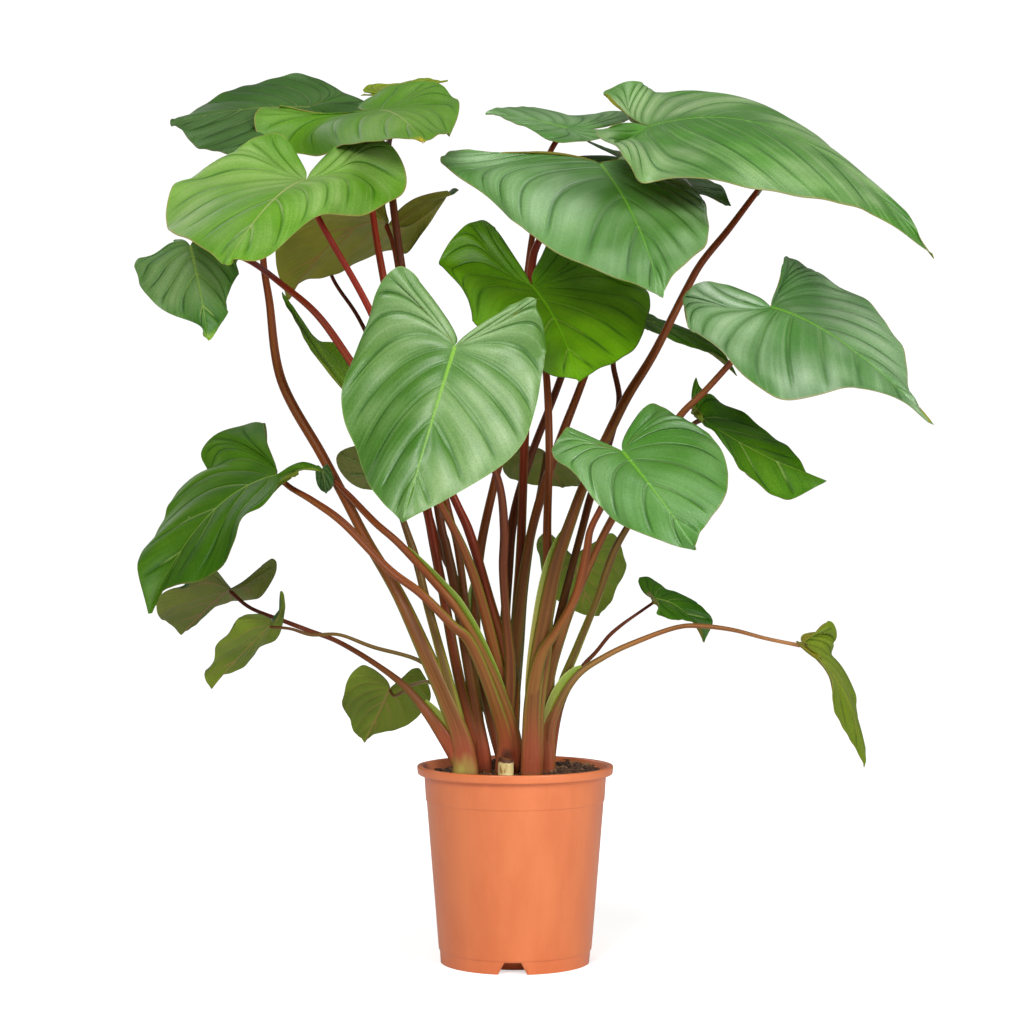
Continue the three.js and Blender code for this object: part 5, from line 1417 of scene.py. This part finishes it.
def soilHeight(x, y):
    radius = np.hypot(x, y)
    mound = soil["mound"] * smooth((x * 0.6 + y * 0.5 + 45) / 90)
    crumbs = 1.3 * np.sin(x * 0.21 + 1) * np.cos(y * 0.17) + 0.9 * np.sin(x * 0.5 - y * 0.43)
    return soil["top"] + (mound + crumbs) * smooth((88 - radius) / 12 + 0.25)


def soilFinish():
    finish, tree, shader = newFinish("pottingSoil")
    where = objectPlace(tree)
    lumps = mottle(tree, where, 160.0, 5.0, 0.7)
    fine = mottle(tree, where, 900.0, 4.0, 0.7)
    colour = blend(tree, rise(tree, lumps, 0.35, 0.65), hue(soil["dark"]), hue(soil["brown"]))
    colour = blend(tree, rise(tree, fine, 0.55, 0.75), colour, hue("#7d5a3e"))
    specks = useGroup(tree, speckGroup, {"Where": where, "Scale": 330.0, "Size": 0.25, "Share": 0.05})
    colour = blend(tree, specks["Specks"], colour, hue("#b9a07c"))
    feed(tree, shader.inputs["Base Color"], colour)
    feed(tree, shader.inputs["Roughness"], sums(tree, "MULTIPLY_ADD", lumps, 0.2, soil["gloss"] - 0.12))
    relief = sums(tree, "ADD", lumps, sums(tree, "MULTIPLY", fine, 0.5))
    feed(tree, shader.inputs["Normal"], raised(tree, relief, 0.9, 0.0015))
    return finish


def fibreFinish():
    finish, tree, shader = newFinish("soilFibres")
    where = objectPlace(tree)
    tone = mottle(tree, where, 60.0, 2.0)
    colour = blend(tree, rise(tree, tone, 0.35, 0.65), hue("#4a2e1e"), hue("#9a7450"))
    feed(tree, shader.inputs["Base Color"], colour)
    feed(tree, shader.inputs["Roughness"], sums(tree, "MULTIPLY_ADD", tone, 0.2, 0.7))
    return finish


def pottingSoil():
    rng = np.random.default_rng(7)
    radii = soil["radius"] * np.linspace(0, 1, soil["rings"] + 1)[1:]
    around = soil["around"]
    angle = 2 * np.pi * np.arange(around) / around
    x = (radii[:, None] * np.cos(angle)).ravel()
    y = (radii[:, None] * np.sin(angle)).ravel()
    flat = np.stack([x, y, np.zeros_like(x)], axis=1)
    rough = (1.5 * wobble(flat, 7.0, 1) + 1.0 * wobble(flat, 3.2, 2) + 0.7 * np.abs(wobble(flat, 1.6, 3)))
    z = soilHeight(x, y) + rough * smooth((soil["radius"] - np.hypot(x, y)) / 3 + 0.3)
    points = [np.stack([x, y, z], axis=1), [[0, 0, float(soilHeight(0, 0))]]]
    faces = []
    rings = soil["rings"]
    centre = rings * around
    for k in range(around):
        k2 = (k + 1) % around
        faces.append([centre, k, k2])
        for r in range(rings - 1):
            faces.append([r * around + k, (r + 1) * around + k, (r + 1) * around + k2, r * around + k2])
    # the root ball below, down to the pot's floor
    wallRings = [(87.6, 180.0), (86.4, 160.0), (74.2, 20.0), (72.0, 15.6), (48.8, 15.6), (46.8, 2.8)]
    first = len(points[0]) + 1
    for radius, height in wallRings:
        points.append(np.stack([radius * np.cos(angle), radius * np.sin(angle), np.full(around, height)],
                               axis=1))
    outer = (rings - 1) * around
    starts = [outer] + [first + n * around for n in range(len(wallRings))]
    for upper, lower in zip(starts, starts[1:]):
        for k in range(around):
            k2 = (k + 1) % around
            faces.append([upper + k, lower + k, lower + k2, upper + k2])
    faces.append([starts[-1] + k for k in reversed(range(around))])
    finishOf = [0] * len(faces)
    points = list(np.vstack(points))

    def addRod(start, heading, length, thickness, bend, finish):
        # a short bent rod with a square section: fibre or bark
        side = unit(np.cross(heading, [0, 0, 1.0]))
        up = np.cross(side, heading)
        base = len(points)
        n = 4
        for i in range(n + 1):
            t = i / n
            c = start + heading * length * t + up * bend * math.sin(math.pi * t)
            c = c + side * bend * 0.6 * math.sin(2.3 * t)
            w = thickness * (0.35 + 0.65 * math.sin(math.pi * (0.12 + 0.76 * t)))
            for dx, dy in ((-1, -1), (1, -1), (1, 1), (-1, 1)):
                points.append(c + side * dx * w + up * dy * w * 0.7)
        for i in range(n):
            for k in range(4):
                k2 = (k + 1) % 4
                faces.append([base + i * 4 + k, base + i * 4 + k2, base + (i + 1) * 4 + k2,
                              base + (i + 1) * 4 + k])
                finishOf.append(finish)
        faces.append([base + k for k in reversed(range(4))])
        faces.append([base + n * 4 + k for k in range(4)])
        finishOf.extend([finish, finish])

    for n in range(soil["fibres"] + soil["crumbs"]):
        out, turn = 84 * math.sqrt(rng.random()), rng.random() * 2 * math.pi
        spot = np.array([out * math.cos(turn), out * math.sin(turn)])
        high = float(soilHeight(spot[0], spot[1])) + 0.9
        tilt, heading = (rng.random() - 0.3) * 0.6, rng.random() * 2 * math.pi
        way = np.array([math.cos(heading) * math.cos(tilt), math.sin(heading) * math.cos(tilt),
                        math.sin(tilt)])
        fibre = n < soil["fibres"]
        length = 5 + 11 * rng.random() if fibre else 1.6 + 3 * rng.random()
        thickness = 0.22 + 0.2 * rng.random() if fibre else 0.7 + 1.1 * rng.random()
        reach = np.hypot(*(spot + way[:2] * length))
        if reach < 88.5:
            addRod(np.array([*spot, high]), way, length, thickness, rng.random() * (2.2 if fibre else 0.3),
                   1 if fibre or rng.random() < 0.45 else 0)
    return makePiece("pottingSoil", points, faces, [soilFinish(), fibreFinish()], "potting_soil", ["soil"],
                     finishOf, sharp=40)


pottingSoil()
print("soil filled in")

# the cut end of an old rhizome in front of the middle shoot
rhizome = {"across": -9.0, "depth": -35.5, "radius": 7.8, "top": 206.0, "slant": -1.6, "bottom": 150.0,
           "flesh": "#e4cc84", "heart": "#ecd9a0", "bark": "#5a3018", "edge": "#a0621f"}


def rhizomeFinish():
    finish, tree, shader = newFinish("cutRhizome")
    where = objectPlace(tree)
    offset = addNode(tree, "VectorMath", {0: where, 1: (rhizome["across"] * mm, rhizome["depth"] * mm, 0)},
                     operation="SUBTRACT").outputs[0]
    x, y, z = parts(tree, offset)
    out = sums(tree, "SQRT", sums(tree, "ADD", sums(tree, "MULTIPLY", x, x), sums(tree, "MULTIPLY", y, y)))
    patches = mottle(tree, where, 160.0, 3.0)
    ragged = sums(tree, "MULTIPLY_ADD", patches, 0.003, out)
    onTop = rise(tree, sums(tree, "MULTIPLY_ADD", patches, 0.006, z), 0.2045, 0.2065)
    flesh = blend(tree, rise(tree, patches, 0.35, 0.7), hue(rhizome["flesh"]), hue(rhizome["heart"]))
    streaks = mottle(tree, stretched(tree, where, (1.0, 1.0, 0.4)), 120.0)
    flesh = blend(tree, rise(tree, streaks, 0.6, 0.72), flesh, hue(rhizome["edge"]))
    crust = blend(tree, rise(tree, ragged, 0.004, 0.0075), hue(rhizome["edge"]), hue(rhizome["bark"]))
    feed(tree, shader.inputs["Base Color"], blend(tree, onTop, flesh, crust))
    feed(tree, shader.inputs["Roughness"], sums(tree, "MULTIPLY_ADD", patches, 0.2, 0.5))
    feed(tree, shader.inputs["Normal"], raised(tree, patches, 0.6, 0.0012))
    return finish


def rhizomeStub():
    r = rhizome
    radius, top = r["radius"], r["top"]
    profile = [(0, r["bottom"]), (radius * 0.8, r["bottom"]), (radius, r["bottom"] + 6),
               (radius * 1.02, 178),
               (radius * 0.96, 186), (radius, 193), (radius * 0.97, top - 3), (radius * 0.93, top - 0.6),
               (radius * 0.84, top), (radius * 0.5, top - 0.5), (0, top - 0.9)]
    points, faces = turned(profile, 40)
    lump = 1 + 0.05 * np.sin(3 * np.arctan2(points[:, 1], points[:, 0]) + points[:, 2] * 0.12)
    points[:, :2] *= lump[:, None]
    points[:, 2] += np.where(points[:, 2] > top - 4, r["slant"] * points[:, 0] / radius, 0)
    points += [r["across"], r["depth"], 0]
    return makePiece("rhizomeStub", points, faces, [rhizomeFinish()], "cut_rhizome", ["rhizome_stub"],
                     sharp=40)


rhizomeStub()
print("rhizome stub built")

# stage: a pale floor, soft studio lights and the camera at the photograph's angle
studio = {
    "camera": {"lens": 83.3, "sensor": 36.0},
    "ambient": 0.23,
    "backdrop": 1.05,
    "lights": {
        "keySoftbox": {"at": (-0.9, -2.8, 2.0), "toward": (0, 0, 0.5), "size": (1.1, 1.1), "power": 58},
        "topSoftbox": {"at": (0.2, -0.6, 2.9), "toward": (0, 0, 0.4), "size": (1.6, 1.2), "power": 18},
        "rightFill": {"at": (1.7, -2.3, 1.4), "toward": (0, 0, 0.5), "size": (1.0, 1.4), "power": 52},
        "backLight": {"at": (-1.4, 1.9, 1.8), "toward": (0, 0, 0.5), "size": (1.2, 1.6), "power": 10},
    },
    "floor": {"colour": (0.9, 0.9, 0.9, 1), "glow": (0.55, 0.85), "glowFrom": 0.2, "glowTo": 1.4},
}


def setStage():
    scene = bpy.context.scene
    scene.view_settings.view_transform = "Standard"
    floorMesh = bpy.data.meshes.new("floor")
    floorMesh.from_pydata([(-12, -6, 0), (12, -6, 0), (12, 30, 0), (-12, 30, 0)], [], [(0, 1, 2, 3)])
    finish, tree, shader = newFinish("paleFloor")
    shader.inputs["Base Color"].default_value = studio["floor"]["colour"]
    shader.inputs["Roughness"].default_value = 0.8
    shader.inputs["Emission Color"].default_value = (1, 1, 1, 1)
    seen = addNode(tree, "LightPath").outputs["Is Camera Ray"]
    x, y, _ = parts(tree, objectPlace(tree))
    away = sums(tree, "SQRT", sums(tree, "ADD", sums(tree, "MULTIPLY", x, x), sums(tree, "MULTIPLY", y, y)))
    near, far = studio["floor"]["glow"]
    outward = rise(tree, away, studio["floor"]["glowFrom"], studio["floor"]["glowTo"])
    glow = sums(tree, "MULTIPLY_ADD", outward, far - near, near)
    feed(tree, shader.inputs["Emission Strength"], sums(tree, "MULTIPLY", seen, glow))
    floorMesh.materials.append(finish)
    floor = bpy.data.objects.new("floor", floorMesh)
    scene.collection.objects.link(floor)
    world = bpy.data.worlds.new("studio")
    world.use_nodes = True
    sky = world.node_tree
    seen = addNode(sky, "LightPath").outputs["Is Camera Ray"]
    given = sky.nodes["Background"].inputs
    given["Color"].default_value = (1, 1, 1, 1)
    strength = sums(sky, "MULTIPLY_ADD", seen, studio["backdrop"] - studio["ambient"], studio["ambient"])
    feed(sky, given["Strength"], strength)
    scene.world = world
    for name, given in studio["lights"].items():
        light = bpy.data.lights.new(name, "AREA")
        light.shape = "RECTANGLE"
        light.size, light.size_y = given["size"]
        light.energy = given["power"]
        lamp = bpy.data.objects.new(name, light)
        lamp.location = given["at"]
        way = Vector(given["toward"]) - Vector(given["at"])
        lamp.rotation_euler = way.to_track_quat("-Z", "Y").to_euler()
        scene.collection.objects.link(lamp)
    view = bpy.data.cameras.new("camera")
    view.lens, view.sensor_width = studio["camera"]["lens"], studio["camera"]["sensor"]
    view.clip_start, view.clip_end = 0.05, 60
    camera = bpy.data.objects.new("camera", view)
    camera.location = (eye["across"] * mm, -eye["distance"] * mm, eye["height"] * mm)
    camera.rotation_euler = (math.radians(90), 0, 0)
    scene.collection.objects.link(camera)
    scene.camera = camera


setStage()
print("stage set")
